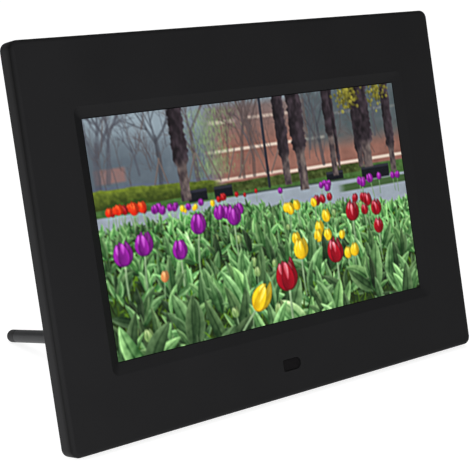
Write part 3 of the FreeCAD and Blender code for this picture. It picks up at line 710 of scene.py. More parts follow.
def blade(canvas, start, end, bend, half_width, colours, fullness=(0.55, 0.8), strength=1.0, groove=0.0):
    """A leaf, petal, stem or branch: a tapering shape along a bent line, shaded across and along."""
    dark, pale = colours
    blur = canvas.dot * 1.5
    run_x, run_y = end[0] - start[0], end[1] - start[1]
    length = math.hypot(run_x, run_y)
    if length < canvas.dot:
        return
    spread = half_width + abs(bend) * length + blur
    across, upward = sorted((start[0], end[0])), sorted((start[1], end[1]))
    part = canvas.window(across[0] - spread, across[1] + spread, upward[0] - spread, upward[1] + spread)
    if part is None:
        return
    dx = canvas.x[part] - start[0]
    dy = canvas.y[part] - start[1]
    along = (dx * run_x + dy * run_y) / length**2
    inside = np.clip(along, 0.0001, 0.9999)
    aside = (dy * run_x - dx * run_y) / length - bend * length * 4 * inside * (1 - inside)
    rise, fall = fullness
    peak = rise / (rise + fall)
    top = peak**rise * (1 - peak) ** fall
    half = half_width * inside**rise * (1 - inside) ** fall / top
    beyond = np.maximum(np.maximum(-along, along - 1), 0) * length
    distance = np.hypot(np.maximum(np.abs(aside) - half, 0), beyond)
    distance -= np.minimum(np.maximum(half - np.abs(aside), 0), blur)
    cover = unit(0.5 - distance / blur) * strength
    across = np.clip(aside / np.maximum(half, canvas.dot), -1, 1)
    lit_side = across if bend >= 0 else -across
    # lighter towards the tip and on the lit side, dark in the groove, and mottled
    groove_width, mottling = 0.14, 0.4
    light = 0.25 + 0.5 * inside + 0.3 * lit_side - groove * np.exp(-((across / groove_width) ** 2))
    light += (canvas.mottle[part] - 0.5) * mottling
    canvas.lay(part, mixed(dark, pale, light), cover)


def away(start, angle, length):
    """The point this far from another, in a direction given as an angle from straight up."""
    return (start[0] + math.sin(angle) * length, start[1] + math.cos(angle) * length)


def part_way(start, end, share):
    """The point this share of the way from start to end."""
    return (start[0] + (end[0] - start[0]) * share, start[1] + (end[1] - start[1]) * share)


def petal(canvas, foot, tip, bulge, half_width, colours, sheen):
    """A petal: broad low down, pointed, darker at its edges, with a pale streak as strong as sheen."""
    dark, middle, pale = colours
    edge = dark * 0.75 + middle * 0.25
    blade(canvas, foot, tip, bulge, half_width, (dark, edge), (0.36, 0.68))
    outer = part_way(foot, tip, 0.97)
    body = (edge, middle * 1.08)
    blade(canvas, part_way(foot, tip, 0.04), outer, bulge, half_width * 0.9, body, (0.38, 0.72))
    start = part_way(foot, tip, canvas.draw(0.25, 0.5))
    blade(canvas, start, outer, bulge * 0.8, half_width * 0.3, (middle, pale), (0.8, 0.4), sheen)


def tulip(canvas, x, y, height, kind, tilt):
    """An egg-shaped tulip round (x, y): two petals behind, one at each side and one in front."""
    colours = TULIPS[kind]
    foot = (x - tilt * height * 0.5, y - height * 0.5)
    shaded = tuple(colour * 0.72 for colour in colours)
    turn = canvas.draw(-0.08, 0.08)
    open_out = OPENNESS.get(kind, 1.0)
    petals = (
        (-0.08, 0.53, 0.08, 0.16, shaded, 0.4),
        (0.10, 0.50, -0.08, 0.16, shaded, 0.4),
        (-0.15 + turn, 0.46, 0.17, 0.19, colours, 0.8),
        (0.16 + turn, 0.48, -0.17, 0.18, shaded, 0.5),
        (turn * 1.6, 0.42, turn * 0.8, 0.24, colours, 0.9),
    )
    for aside, rise, bulge, half_width, shades, sheen in petals:
        nudge = canvas.draw(-0.05, 0.05) * open_out
        tip = (x + (aside * open_out + nudge + tilt * rise) * height, y + (rise + nudge) * height)
        petal(canvas, foot, tip, bulge, half_width * height * math.sqrt(open_out), shades, sheen)


def stem(canvas, x, y, height, tilt):
    """The stalk under a flower."""
    drop = height * 1.8
    top = (x - tilt * height * 0.5, y - height * 0.46)
    foot = (x - tilt * (height + drop), y - height * 0.5 - drop)
    blade(canvas, foot, top, 0.02, height * 0.05, (rgb(78, 112, 72), rgb(164, 190, 146)), (0.05, 0.05))


def paint_sky_and_building(canvas):
    """The hazy distance: pale sky, a brick building with pale courses, and dark woods."""
    haze = canvas.noise(3, 4)
    fine = canvas.noise(30, 30)
    x, y = canvas.x, canvas.y
    canvas.colour[:] = mixed(MIST * 0.78, SKY, haze * 0.7 + (y - 0.84) * 1.2)
    woods = band(y, 0.62, 0.86, 0.12) * band(x, -1, 0.66, 0.2)
    canvas.wash(rgb(82, 92, 102), woods * (0.45 + 0.4 * fine))
    wall = band(x, 0.64, 3.0, 0.12) * band(y, 0.62, 0.985, 0.03)
    brick = mixed(BRICK * 0.82, BRICK * 1.12, fine * 0.7 + haze * 0.3)
    veil = np.clip((y - 0.80) * 4.2, 0.0, 0.75) * band(x, -1, 1.20, 0.2)
    brick = mixed(brick, MIST * 0.82, veil * 0.7 + (x > 1.2) * np.clip((y - 0.74) * 9, 0, 0.86))
    canvas.wash(brick, wall * 0.92)
    for left, right, low, height, strength in (
        (0.60, 1.30, 0.784, 0.013, 0.9),
        (0.64, 0.78, 0.908, 0.018, 0.75),
        (0.84, 1.12, 0.915, 0.014, 0.65),
        (0.62, 1.02, 0.659, 0.012, 0.85),
        (1.02, 1.80, 0.650, 0.014, 0.95),
        (1.36, 1.80, 0.885, 0.012, 0.45),
    ):
        course = band(x, left, right, 0.03) * band(y, low, low + height, 0.006)
        canvas.wash(BRICK_PALE, course * strength)
    canopy = band(x, 1.16, 3.0, 0.08) * band(y, 0.75, 3.0, 0.07) * (0.35 + 0.6 * fine)
    canvas.wash(rgb(70, 84, 86), canopy)
    far_wall = band(x, 0.02, 0.17, 0.02) * band(y, 0.725, 0.785, 0.012)
    canvas.wash(rgb(146, 104, 96), far_wall * (0.5 + 0.4 * fine))


def bare_tree(canvas, x, y, height, angle, width, depth, colour, strength):
    """A leafless tree that forks into thinner and thinner twigs."""
    end = away((x, y), angle, height)
    bend = canvas.draw(-0.05, 0.05)
    blade(canvas, (x, y), end, bend, width, (colour, colour * 1.25), (0.05, 0.25), strength)
    if depth == 0:
        return
    for side in (-1, 1, 0):
        turn = side * canvas.draw(0.25, 0.6) + canvas.draw(-0.12, 0.12)
        place = canvas.draw(0.45, 1.0)
        bud = part_way((x, y), end, place)
        size = height * canvas.draw(0.5, 0.75)
        bare_tree(canvas, *bud, size, angle + turn, width * 0.6, depth - 1, colour, strength * 0.85)


def paint_bare_trees(canvas):
    """Bare trees in the mist: a few large ones, and many thin ones between them."""
    grey = rgb(70, 72, 80)
    brown = rgb(74, 62, 60)
    for x, y, height, angle, width, shade in (
        (0.03, 0.70, 0.20, 0.10, 0.017, grey),
        (0.08, 0.72, 0.19, 0.16, 0.012, grey),
        (0.24, 0.74, 0.13, -0.2, 0.006, grey),
        (0.34, 0.68, 0.22, 0.03, 0.011, grey * 0.8),
        (0.54, 0.66, 0.24, -0.02, 0.012, brown),
        (0.70, 0.70, 0.18, 0.15, 0.007, brown),
        (0.79, 0.66, 0.24, 0.14, 0.010, brown),
        (0.85, 0.66, 0.26, 0.06, 0.010, brown),
        (1.27, 0.66, 0.20, -0.06, 0.010, grey * 0.8),
        (1.20, 0.74, 0.16, 0.1, 0.006, grey),
        (1.62, 0.76, 0.14, 0.05, 0.007, grey),
    ):
        bare_tree(canvas, x, y, height, angle, width, 4, shade, 0.62)
    thin_trees = 70
    for _ in range(thin_trees):
        foot_x = canvas.draw(0.0, PICTURE_ASPECT)
        foot_y = canvas.draw(0.66, 0.86)
        height = canvas.draw(0.07, 0.17)
        shade = mixed(brown, grey, np.array(canvas.random.random()))
        bare_tree(canvas, foot_x, foot_y, height, canvas.random.normal(0, 0.3), 0.003, 3, shade, 0.5)


def paint_willow(canvas):
    """The pale green haze of a willow's hanging leaves."""
    leaves = 900
    for _ in range(leaves):
        spot_x = canvas.random.normal(0.64, 0.06)
        spot_y = canvas.draw(0.70, 0.99)
        drop = canvas.draw(0.008, 0.03)
        shade = rgb(132, 158, 108) * canvas.draw(0.7, 1.15)
        tip = (spot_x + canvas.draw(-0.008, 0.008), spot_y - drop)
        blade(canvas, (spot_x, spot_y), tip, 0.1, 0.0032, (shade, shade), (0.3, 0.3), 0.26)


def paint_stakes(canvas):
    """The thin stakes that hold young trees, each from its foot to its top."""
    stakes = ((0.30, 0.35), (0.385, 0.345), (0.48, 0.54), (0.60, 0.545), (0.70, 0.76), (0.77, 0.80))
    stakes += ((0.76, 0.86), (0.92, 0.87), (0.95, 1.03), (0.66, 0.60))
    colour = rgb(124, 108, 102)
    for foot, top in stakes:
        blade(canvas, (foot, 0.665), (top, 0.80), 0.0, 0.004, (colour * 0.7, colour), (0.02, 0.02), 0.8)


def palm_trunk(canvas, bark_noise, edge_noise, x, width, low, skirt):
    """A palm's trunk: rough and pale below, wrapped in dark fibre above the skirt line."""
    part = canvas.window(x - width, x + width, low, 1.0)
    bark = bark_noise[part]
    y = canvas.y[part]
    rough = (edge_noise[part] - 0.5) * 0.5
    wrapped = smooth(unit((y - skirt) / 0.03 + 0.5))
    wide = 0.5 * width * (0.6 + rough * 0.35 + wrapped * (0.36 + rough * 0.5))
    distance = np.abs(canvas.x[part] - x) - wide
    cover = unit(0.5 - distance / 0.005) * unit((y - low) / 0.006)
    side = np.clip((canvas.x[part] - x) / width, -0.5, 0.5)
    fibre = mixed(BARK_DARK * 0.75, BARK_DARK * 2.1, bark * 0.9 - 0.12 + side * 0.5)
    plain = mixed(BARK_DARK * 1.2, BARK_PALE, bark * 1.1 + side * 0.5)
    canvas.lay(part, mixed(plain, fibre, (y - skirt) / 0.04 + 0.5), cover)


def paint_palms(canvas):
    """The row of palms, a lamp post, and yellow blossom at the upper right."""
    bark_noise = canvas.noise(55, 34, 2)
    edge_noise = canvas.noise(36, 60, 2)
    post = rgb(30, 34, 42)
    blade(canvas, (0.928, 0.60), (0.936, 1.02), 0.0, 0.0072, (post, post * 1.5), (0.02, 0.02))
    for x, width, low, skirt in (
        (1.335, 0.056, 0.60, 0.80),
        (1.365, 0.020, 0.63, 0.66),
        (1.505, 0.052, 0.62, 0.70),
        (1.715, 0.058, 0.575, 0.70),
        (0.462, 0.084, 0.60, 0.765),
        (1.040, 0.068, 0.595, 0.73),
        (1.135, 0.088, 0.56, 0.745),
        (1.552, 0.094, 0.615, 0.735),
    ):
        palm_trunk(canvas, bark_noise, edge_noise, x, width, low, skirt)
    blossom = ((1.47, 0.955, 0.045, 150), (1.66, 0.97, 0.05, 110), (1.45, 0.995, 0.05, 90))
    for x, y, spread, count in blossom:
        for _ in range(count):
            spot = (x + canvas.random.normal(0, spread * 0.7), y + canvas.random.normal(0, spread * 0.6))
            shade = rgb(166, 158, 58) * canvas.draw(0.45, 1.2)
            size = canvas.draw(0.006, 0.016)
            tip = (spot[0] + size, spot[1] + canvas.draw(-size, size))
            blade(canvas, spot, tip, 0.0, size * 0.6, (shade * 0.7, shade), (0.4, 0.4), 0.6)


def paint_ground(canvas):
    """Hedges, lawn, planters and the paved path between the trees and the flower bed."""
    x, y = canvas.x, canvas.y
    grain = canvas.noise(60, 70, 2)
    clumps = canvas.noise(14, 20, 3)
    lawn_top = 0.655 - 0.012 * x
    lawn = mixed(LAWN * 0.72, LAWN * 1.15, grain * 0.8 + clumps * 0.3)
    canvas.wash(lawn, unit((lawn_top - y) / 0.008))
    left_hedge = unit((0.702 - 0.05 * x + 0.012 * clumps - y) / 0.006) * band(x, -1, 0.64, 0.05)
    hedge = mixed(HEDGE_DARK, HEDGE_PALE, (y - 0.64) * 11 + grain * 0.7 - 0.25)
    canvas.wash(hedge, left_hedge * (y > 0.62))
    right_hedge = band(y, 0.605, 0.644 + 0.008 * clumps, 0.008) * band(x, 0.64, 1.5, 0.05)
    dark_hedge = mixed(HEDGE_DARK * 0.7, rgb(94, 110, 58), grain * 0.9)
    canvas.wash(dark_hedge, right_hedge)
    path_top = 0.590 - 0.022 * unit(x - 0.9) + 0.012 * np.clip(0.3 - x, 0, 0.3)
    paving = mixed(PAVING * 0.94, PAVING * 1.08, clumps * 0.8 + grain * 0.3)
    canvas.wash(paving, unit((path_top - y) / 0.006))
    kerb = band(y - path_top, -0.004, 0.003, 0.003) * band(x, 0.75, 1.4, 0.03)
    canvas.wash(rgb(60, 70, 70), kerb * 0.8)
    verge = band(y, 0.522, 0.556, 0.006) * band(x, 1.36, 3, 0.05)
    canvas.wash(LAWN * 0.8, verge * 0.9)
    for left, right, low, high in (
        (0.475, 0.575, 0.594, 0.645),
        (0.615, 0.715, 0.592, 0.643),
        (1.275, 1.380, 0.585, 0.625),
        (1.500, 1.680, 0.560, 0.622),
    ):
        box_area = band(x, left, right, 0.004) * band(y, low, high, 0.004)
        side = mixed(rgb(18, 20, 26), rgb(44, 46, 52), band(y, high - 0.012, high, 0.003) + grain * 0.25)
        canvas.wash(side, box_area)


def leaf_colours(canvas, place, depth):
    """The dark and pale side of a leaf: in drifts of light and shade, with paler shadows far away."""
    green = canvas.random.random() ** 1.5
    row = np.clip(int(place[1] * canvas.rows), 0, canvas.rows - 1)
    column = np.clip(int(place[0] / PICTURE_ASPECT * canvas.columns), 0, canvas.columns - 1)
    tone = 0.56 + 0.70 * canvas.drift[row, column] + canvas.draw(-0.34, 0.34)
    middle = LEAF_MID * (1 - green * 0.5) + GRASS * green * 0.5
    dark = LEAF_DARK * (0.9 + 0.5 * depth) * tone
    pale = (middle * 0.45 + LEAF_PALE * 0.55) * tone
    return dark, np.minimum(pale, 1.0)


def bed_drop(x, y):
    """How much lower the far edge of the bed lies towards the right of the picture."""
    return 0.10 * unit(y / 0.5) * unit((x - 0.75) / 0.9)


def paint_plant(canvas, foot, reach, depth):
    """The leaves of one tulip plant: the outer ones lean and curl outwards, the inner ones stand up."""
    missing = 0.2  # the share of leaves that aren't there
    for lean_out in (-1.15, 1.05, -0.7, 0.75, -0.35, 0.3, 0.0):
        if canvas.random.random() < missing:
            continue
        angle = lean_out + canvas.random.normal(0, 0.16)
        length = reach * canvas.draw(0.6, 1.25) * (1 - 0.2 * abs(lean_out))
        start = (foot[0] + lean_out * reach * 0.05, foot[1] + canvas.draw(-0.05, 0.05) * reach)
        tip = away(start, angle, length)
        bend = canvas.draw(-0.06, 0.13) * (1 if lean_out > 0 else -1)
        half_width = length * canvas.draw(0.08, 0.19)
        blade(canvas, start, tip, bend, half_width, leaf_colours(canvas, tip, depth), groove=0.3)


def paint_plants(canvas, y, reach):
    """One row of tulip plants that rise from the height y, each about reach high."""
    depth = unit(y / 0.5)
    x = -0.1
    while x < PICTURE_ASPECT + 0.1:
        x += reach * canvas.draw(0.55, 1.65)
        foot = (x, y - bed_drop(x, y) + canvas.draw(-0.35, 0.2) * reach)
        paint_plant(canvas, foot, reach, depth)


def paint_grass(canvas, y, reach):
    """Fine blades of grass between the plants, most of them in shadow."""
    blades = 150
    for _ in range(blades):
        x = canvas.draw(0, PICTURE_ASPECT)
        foot = y - bed_drop(x, y) + canvas.draw(-0.1, 0.1) * reach
        length = reach * canvas.draw(0.15, 0.4)
        angle = canvas.random.normal(0, 0.7)
        tip = away((x, foot), angle, length)
        shade = GRASS * canvas.draw(0.25, 1.2)
        bend = canvas.draw(-0.2, 0.2)
        blade(canvas, (x, foot), tip, bend, canvas.draw(0.002, 0.005), (shade * 0.6, shade))


# The large flowers that make the composition: how far across and how high up, their height and any tilt
LARGE_FLOWERS = {
    "purple": (
        (0.058, 0.432, 0.104), (0.118, 0.456, 0.098, 0.05), (0.219, 0.405, 0.086),
        (0.284, 0.500, 0.092, 0.1), (0.350, 0.532, 0.066), (0.372, 0.528, 0.062),
        (0.394, 0.507, 0.088), (0.416, 0.531, 0.052),
    ),
    "peach": (
        (0.163, 0.306, 0.050, 0.1),
    ),
    "crimson": (
        (0.790, 0.428, 0.094), (0.850, 0.468, 0.062), (0.880, 0.424, 0.074),
        (0.836, 0.424, 0.050), (0.878, 0.336, 0.072), (0.714, 0.262, 0.114),
        (0.540, 0.200, 0.142),
    ),
    "yellow": (
        (0.698, 0.430, 0.062), (0.668, 0.382, 0.064), (0.660, 0.345, 0.060),
        (0.694, 0.341, 0.056), (0.742, 0.329, 0.042, 0.2), (0.584, 0.354, 0.056),
        (0.594, 0.304, 0.098), (0.755, 0.240, 0.056), (0.779, 0.247, 0.062),
        (0.447, 0.128, 0.112, 0.8),
    ),
}

# Drifts of small flowers: kind, middle across and up, spread each way, height, number
FLOWER_DRIFTS = (
    ("orange", 0.080, 0.610, 0.055, 0.006, 0.046, 9),
    ("red", 0.090, 0.606, 0.070, 0.008, 0.036, 8),
    ("purple", 0.230, 0.585, 0.080, 0.012, 0.036, 9),
    ("red", 0.400, 0.590, 0.110, 0.012, 0.026, 9),
    ("purple", 0.640, 0.570, 0.090, 0.016, 0.034, 6),
    ("purple", 0.880, 0.560, 0.100, 0.014, 0.040, 7),
    ("yellow", 0.250, 0.570, 0.100, 0.010, 0.026, 5),
    ("yellow", 0.610, 0.495, 0.055, 0.012, 0.046, 7),
    ("crimson", 0.690, 0.508, 0.030, 0.006, 0.042, 4),
    ("crimson", 0.800, 0.490, 0.050, 0.020, 0.042, 4),
    ("bud", 0.430, 0.250, 0.080, 0.060, 0.042, 6),
    ("bud", 0.600, 0.420, 0.280, 0.040, 0.034, 8),
    ("bud", 0.280, 0.080, 0.300, 0.040, 0.060, 6),
)


def flower_list(canvas):
    """Every flower as (base height, x, y, height, kind, tilt), the farthest first."""
    stalk = 2.2  # how far below its flower a plant stands, in flower heights
    flowers = []
    for kind, group in LARGE_FLOWERS.items():
        for across, y, height, *tilt in group:
            x = across * PICTURE_ASPECT
            flowers.append((y - height * stalk, x, y, height, kind, *(tilt or [0.0])))
    for kind, across, middle, spread, rise, size, count in FLOWER_DRIFTS:
        for _ in range(count):
            x = canvas.draw(across - spread, across + spread) * PICTURE_ASPECT
            y = canvas.draw(middle - rise, middle + rise)
            height = size * canvas.draw(0.75, 1.15)
            tilt = canvas.draw(-0.15, 0.15)
            flowers.append((y - height * stalk, x, y, height, kind, tilt))
    return sorted(flowers, reverse=True)


def paint_flower(canvas, x, y, height, kind, tilt):
    """A tulip on its stalk."""
    stem(canvas, x, y, height, tilt)
    tulip(canvas, x, y, height, kind, tilt)


def paint_flower_bed(canvas):
    """The bed in front: soil, rows of leaves from the back to the front, and flowers among them."""
    far, near = 0.52, -0.16  # where the first and the last row of plants stand
    smallest, growth = 0.045, 0.21  # how high the first row is, and how much higher the last one
    row_step = 0.27  # the distance between two rows, in plant heights
    soil_edge = 0.536 - bed_drop(canvas.x, far)
    clumps = canvas.noise(24, 24)
    soil = mixed(SOIL * 0.7, rgb(52, 82, 34), clumps)
    canvas.wash(soil, unit((soil_edge - canvas.y) / 0.02))
    flowers = flower_list(canvas)
    y = far
    while y > near:
        reach = smallest + growth * unit((far - y) / (far - near))
        while flowers and flowers[0][0] > y + 0.02:
            paint_flower(canvas, *flowers.pop(0)[1:])
        paint_grass(canvas, y, reach)
        paint_plants(canvas, y, reach)
        y -= reach * row_step
    for flower in flowers:
        paint_flower(canvas, *flower[1:])


def garden_picture():
    """The finished picture as a grid of colours, bottom row first."""
    canvas = Canvas(11)
    paint_sky_and_building(canvas)
    paint_bare_trees(canvas)
    paint_willow(canvas)
    paint_stakes(canvas)
    paint_ground(canvas)
    paint_palms(canvas)
    paint_flower_bed(canvas)
    return canvas.colour


# ---------------------------------------------------------------- pieces
def add_display(material):
    """The liquid crystal cell, as a closed slab whose front carries the picture on a fine grid."""
    cell = extent("display_glass")
    active_width = 154.08 * MM
    active_height = 86.58 * MM
    rim = 0.05 * MM
    xs = np.linspace(-active_width / 2, active_width / 2, PICTURE_COLUMNS + 1)
    zs = np.linspace(cell.z - active_height / 2, cell.z + active_height / 2, PICTURE_ROWS + 1)
    xs = np.concatenate(([cell.left, xs[0] - rim], xs, [xs[-1] + rim, cell.right]))
    zs = np.concatenate(([cell.low, zs[0] - rim], zs, [zs[-1] + rim, cell.high]))
    across, upward = np.meshgrid(xs, zs)
    depth = np.full(across.shape, cell.front)
    points = np.stack((across, depth, upward), axis=-1).reshape(-1, 3)
    rows, columns = across.shape
    faces = [face[::-1] for face in sheet_faces(rows, columns, False)]
    count = rows * columns
    edge = list(range(columns))
    edge += [row * columns + columns - 1 for row in range(1, rows)]
    edge += [(rows - 1) * columns + column for column in range(columns - 2, -1, -1)]
    edge += [row * columns for row in range(rows - 2, 0, -1)]
    behind = [(points[index][0], cell.back, points[index][2]) for index in edge]
    for index in range(len(edge)):
        following = (index + 1) % len(edge)
        faces.append((edge[index], edge[following], count + following, count + index))
    faces.append(tuple(range(count, count + len(edge)))[::-1])
    points = np.concatenate((points, behind))
    replaced = ["display_glass"]
    cell_piece = add_piece("lcd_cell", points, faces, "frame", "display", material, None, replaced)
    layer = cell_piece.data.color_attributes.new(PICTURE_LAYER, "FLOAT_COLOR", "POINT")
    colours = np.zeros((len(points), 4))
    colours[:, 3] = 1.0
    inner = np.zeros((rows, columns, 3))
    inner[2:-2, 2:-2] = corner_colours()
    colours[:count, :3] = inner.reshape(-1, 3)
    layer.data.foreach_set("color", colours.ravel())


def corner_colours():
    """The painting's colour at every corner of the display's grid, sharpened, as linear light."""
    painting = garden_picture()
    fine = painting.reshape(PICTURE_ROWS, OVERSAMPLE, PICTURE_COLUMNS, OVERSAMPLE, 3).mean(axis=(1, 3))
    padded = np.pad(fine, ((1, 1), (1, 1), (0, 0)), mode="edge")
    corners = (padded[:-1, :-1] + padded[1:, :-1] + padded[:-1, 1:] + padded[1:, 1:]) / 4
    around = np.pad(corners, ((2, 2), (2, 2), (0, 0)), mode="edge")
    rows, columns = corners.shape[:2]
    shifts = [(down, over) for down in range(5) for over in range(5)]
    blurred = sum(around[r : r + rows, c : c + columns] for r, c in shifts) / len(shifts)
    sharpening = 0.9
    sharp = unit(corners + (corners - blurred) * sharpening)
    return np.where(sharp <= 0.04045, sharp / 12.92, ((sharp + 0.055) / 1.055) ** 2.4)


def thread_radius(depth, angle, crest, pitch):
    """The radius of a right-hand screw thread at a place along its axis and an angle round it."""
    turn = (depth / pitch + angle / (2 * math.pi)) % 1.0
    slope = abs(2 * turn - 1)
    thread_depth = 0.54 * pitch
    steepness, flat = 1.3, 0.15  # the flanks are a little steeper than a plain zigzag, with flat crests
    return crest - thread_depth * unit(steepness * slope - flat)


def add_stud(material):
    """The stud in the rod's end, with its real thread: one turn for each step of the rod's travel."""
    stud = extent("stand_stud")
    pitch = joint("rod_travel")["range_m"][1] * 360.0 / joint("rod_turn")["range_deg"][1]
    crest = (stud.right - stud.left) / 2
    chamfer = 0.5 * MM
    sides = 40
    rows_per_turn = 12
    rows = int((stud.back - stud.front) / pitch * rows_per_turn)
    points = []
    for row in range(rows + 1):
        depth = stud.front + (stud.back - stud.front) * row / rows
        limit = crest - max(chamfer - (depth - stud.front), 0.0)
        for side in range(sides):
            angle = 2 * math.pi * side / sides
            radius = min(thread_radius(depth, angle, crest, pitch), limit)
            points.append((stud.x + radius * math.cos(angle), depth, stud.z + radius * math.sin(angle)))
    faces = sheet_faces(rows + 1, sides, True)
    faces.append(tuple(range(sides)))
    faces.append(tuple(range(rows * sides, (rows + 1) * sides)))
    add_piece("stud_thread", points, faces, "rod", "bright_steel", material, 35, ["stand_stud"])


def bar(u, w, width, height):
    """The outline of an upright rectangle round (u, w)."""
    return [
        (u - width / 2, w - height / 2),
        (u + width / 2, w - height / 2),
        (u + width / 2, w + height / 2),
        (u - width / 2, w + height / 2),
    ]


def arrow(u, w, size, heading):
    """The outline of a triangle that points along heading, in degrees from the right."""
    angles = [math.radians(heading + turn) for turn in (0, 130, 230)]
    return [(u + size * math.cos(angle), w + size * math.sin(angle)) for angle in angles]


def open_ring(radius, width, gap):
    """The outline of a ring with a gap of this many degrees at its top."""
    steps = 24
    angles = [math.radians(90 + gap / 2 + (360 - gap) * step / steps) for step in range(steps + 1)]
    outer = [(math.cos(a) * (radius + width / 2), math.sin(a) * (radius + width / 2)) for a in angles]
    inner = [(math.cos(a) * (radius - width / 2), math.sin(a) * (radius - width / 2)) for a in angles]
    return outer + inner[::-1]


KEY_MARKS = {
    "power": [open_ring(1.15, 0.34, 70), bar(0, 0.95, 0.34, 1.3)],
    "menu": [bar(0, w, 2.6, 0.38) for w in (-0.9, 0, 0.9)],
    "exit": [arrow(-0.7, 0.5, 0.8, 180), bar(0.55, 0.5, 1.9, 0.36), bar(1.32, -0.12, 0.36, 0.9)],
    "up": [arrow(0, -0.15, 1.35, 90)],
    "down": [arrow(0, 0.15, 1.35, 270)],
    "left": [arrow(0.15, 0, 1.35, 180)],
    "right": [arrow(-0.15, 0, 1.35, 0)],
}


def add_key_marks(material):
    """The raised marks on the keys. Their outlines are drawn as seen from behind, in millimetres."""
    proud = 0.06 * MM
    for name, outlines in KEY_MARKS.items():
        key = extent("key_" + name)
        shapes = []
        for outline in outlines:
            placed = [(key.x - u * MM, key.z + w * MM) for u, w in outline]
            shapes.append(prism(placed, key.back - proud, key.back + proud))
        add_piece("mark_" + name, *joined(*shapes), "key_" + name, "key", material)


def add_usb_contacts(plastic, gold):
    """The plastic tongue inside the USB socket, with its four gold contacts."""
    socket = extent("usb_socket")
    skin = 0.03 * MM
    margin = 1.1 * MM
    root, mouth = socket.left + 2 * MM, socket.right - 1.4 * MM
    low, high = socket.low + margin, socket.high - margin
    front, back = socket.front + margin, socket.front + 3.0 * MM
    nose = 0.5 * MM
    edge = [(root, front - skin), (mouth - nose, front - skin)]
    edge += [(mouth + skin, front + nose), (mouth + skin, back - nose)]
    edge += [(mouth - nose, back + skin), (root, back + skin)]
    tongue = upright_prism(edge, low - skin, high + skin)
    add_piece("usb_tongue", *tongue, "frame", "black_plastic", plastic)
    strips = []
    pitch = 2.2 * MM
    half = 0.5 * MM
    start, long_end, short_end = mouth - 7 * MM, mouth - 0.9 * MM, mouth - 1.6 * MM
    thickness = 0.09 * MM
    for index, end in enumerate((long_end, short_end, short_end, long_end)):
        z = socket.z + (index - 1.5) * pitch
        outline = [(start, z - half), (end, z - half), (end, z + half), (start, z + half)]
        strips.append(prism(outline, back, back + thickness))
    add_piece("usb_contacts", *joined(*strips), "frame", "bright_steel", gold)


def add_card_contacts(gold):
    """The row of spring contacts inside the memory card socket."""
    socket = extent("card_socket")
    springs = []
    count = 9
    width, thickness = 0.8 * MM, 0.12 * MM
    pitch = 2.5 * MM
    mouth = socket.right - 2.5 * MM
    floor = socket.front + 0.3 * MM
    top = 0.75 * MM
    bend = [(mouth - 9 * MM, 0.0), (mouth - 3 * MM, top), (mouth - 1.5 * MM, top), (mouth, 0.1 * MM)]
    line = [(x, floor + rise) for x, rise in bend]
    line += [(x, floor + rise + thickness) for x, rise in reversed(bend)]
    for index in range(count):
        z = socket.z + (index - count // 2) * pitch
        springs.append(upright_prism(line, z - width / 2, z + width / 2))
    add_piece("card_contacts", *joined(*springs), "frame", "bright_steel", gold)


def add_socket_rings(steel, gold):
    """The metal ring in the headphone socket's mouth, and the sleeve round the power socket's pin."""
    phones = extent("headphone_jack")
    centre = ((phones.front + phones.back) / 2, phones.z)
    bore, rim, lip = 1.79 * MM, 2.45 * MM, 0.12 * MM
    root, shoulder, face = phones.right - 1.5 * MM, phones.right + lip * 0.4, phones.right + lip
    wall = [(root, bore), (shoulder, bore), (face, bore + lip)]
    wall += [(face, rim - lip), (shoulder, rim), (root, rim)]
    add_piece("headphone_ring", *turned(wall, centre, 40, True), "frame", "bright_steel", steel, 30)
    power = extent("dc_jack")
    centre = ((power.front + power.back) / 2, power.z)
    tip = power.right - 1.5 * MM
    pin = 0.65 * MM
    skin = 0.03 * MM
    sleeve = [(power.left + 2.2 * MM, pin + skin), (tip - pin * 0.5, pin + skin)]
    sleeve += [(tip, pin * 0.75), (tip + skin, pin * 0.3)]
    add_piece("power_pin", *turned(sleeve, centre, 24), "frame", "bright_steel", gold, 40)


# ---------------------------------------------------------------- floor, lights and camera
def floor_finish(finish):
    """Seamless white paper, lit from below like a photographer's light table."""
    fibres = finish.noise(0.02, 3.0)
    finish.paint(fibres, (192, 192, 192), (200, 200, 200))
    finish.rough(fibres, 0.8, 0.9)
    finish.fixed(Specular_IOR_Level=0.0, Emission_Color=WHITE, Emission_Strength=0.84)


def add_floor(material):
    """A large plain pale floor under the object."""
    half = 30.0
    mesh = bpy.data.meshes.new("studio_floor")
    corners = [(-half, -half, 0.0), (half, -half, 0.0), (half, half, 0.0), (-half, half, 0.0)]
    mesh.from_pydata(corners, [], [(0, 1, 2, 3)])
    mesh.materials.append(material)
    placed("studio_floor", mesh)


def add_soft_box(name, place, aim, size, power):
    """A square area light that shines from one point towards another, and doesn't show itself."""
    lamp = bpy.data.lights.new(name, "AREA")
    lamp.shape = "SQUARE"
    lamp.size = size
    lamp.energy = power
    holder = placed(name, lamp)
    holder.location = place
    holder.rotation_euler = (Vector(aim) - Vector(place)).to_track_quat("-Z", "Y").to_euler()
    holder.visible_camera = False


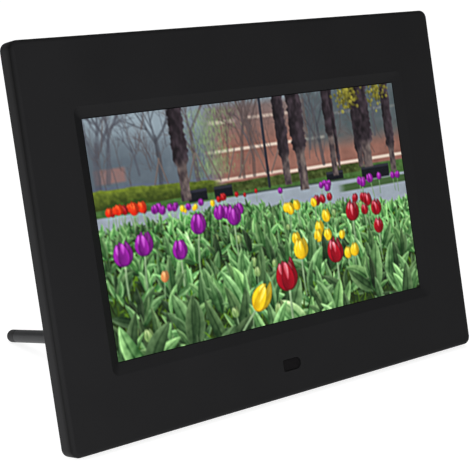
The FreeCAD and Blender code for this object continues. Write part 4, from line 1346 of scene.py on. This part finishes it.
def add_world():
    """A soft room, brighter overhead than at the horizon and darker to both sides, seen as white."""
    world = bpy.data.worlds.new("studio")
    bpy.context.scene.world = world
    world.use_nodes = True
    room = Graph(world.node_tree)
    direction = room.add("ShaderNodeTexCoord").outputs["Generated"]
    parts = room.add("ShaderNodeSeparateXYZ", Vector=direction).outputs
    steep = 0.9  # the share of a direction at which the tone stops changing
    overhead = room.between(parts["Z"], 0.0, steep, 0.22, 0.80)
    aside = room.between(room.math("ABSOLUTE", parts["X"]), 0.0, steep, 1.0, 0.12)
    shining = room.tree.nodes["Background"]
    room.put(shining.inputs["Color"], WHITE)
    room.put(shining.inputs["Strength"], room.math("MULTIPLY", overhead, aside))
    backdrop = room.add("ShaderNodeBackground", Color=WHITE, Strength=1.0)
    seen = room.add("ShaderNodeLightPath").outputs["Is Camera Ray"]
    choice = room.add("ShaderNodeMixShader", Fac=seen)
    room.put(choice.inputs[1], shining.outputs[0])
    room.put(choice.inputs[2], backdrop.outputs[0])
    room.put(room.tree.nodes["World Output"].inputs["Surface"], choice.outputs[0])


def add_camera():
    """The camera at the photograph's viewing angle: from the front left, a little above."""
    place = (-0.33806, -0.44047, 0.19182)
    heading, dip, roll = (math.radians(angle) for angle in (39.355, 14.054, 0.238))
    camera = bpy.data.cameras.new("camera")
    camera.lens = 105.39
    camera.sensor_width = 36.0
    camera.clip_start = 0.01
    camera.clip_end = 100.0
    level = math.cos(dip)
    ahead = Vector((math.sin(heading) * level, math.cos(heading) * level, -math.sin(dip)))
    turn = ahead.to_track_quat("-Z", "Y").to_matrix() @ Matrix.Rotation(roll, 3, "Z")
    bpy.context.scene.camera = placed("camera", camera, Matrix.Translation(place) @ turn.to_4x4())


def set_up_studio():
    """Everything round the object."""
    paper = Finish("studio_floor")
    floor_finish(paper)
    add_floor(paper.material)
    add_soft_box("overhead", (-0.1, 0.2, 1.3), (0.0, 0.0, 0.0), 1.4, 2.0)
    add_soft_box("side_fill", (-0.21, -0.06, 0.03), (-0.10, 0.0, 0.03), 0.08, 0.10)
    add_soft_box("front_fill", (-0.30, -0.40, 0.03), (-0.05, 0.0, 0.04), 0.30, 1.15)
    add_world()
    add_camera()
    bpy.context.scene.view_settings.view_transform = "Standard"


def main():
    """Dresses the CAD nodes, adds the finer pieces and sets up the studio."""
    made = make_materials()
    dress_cad_nodes(made)
    add_display(made["display"])
    add_stud(made["bright_steel"])
    add_key_marks(made["key_mark"])
    add_usb_contacts(made["black_plastic"], made["gold_contact"])
    add_card_contacts(made["gold_contact"])
    add_socket_rings(made["bright_steel"], made["gold_contact"])
    set_up_studio()


main()
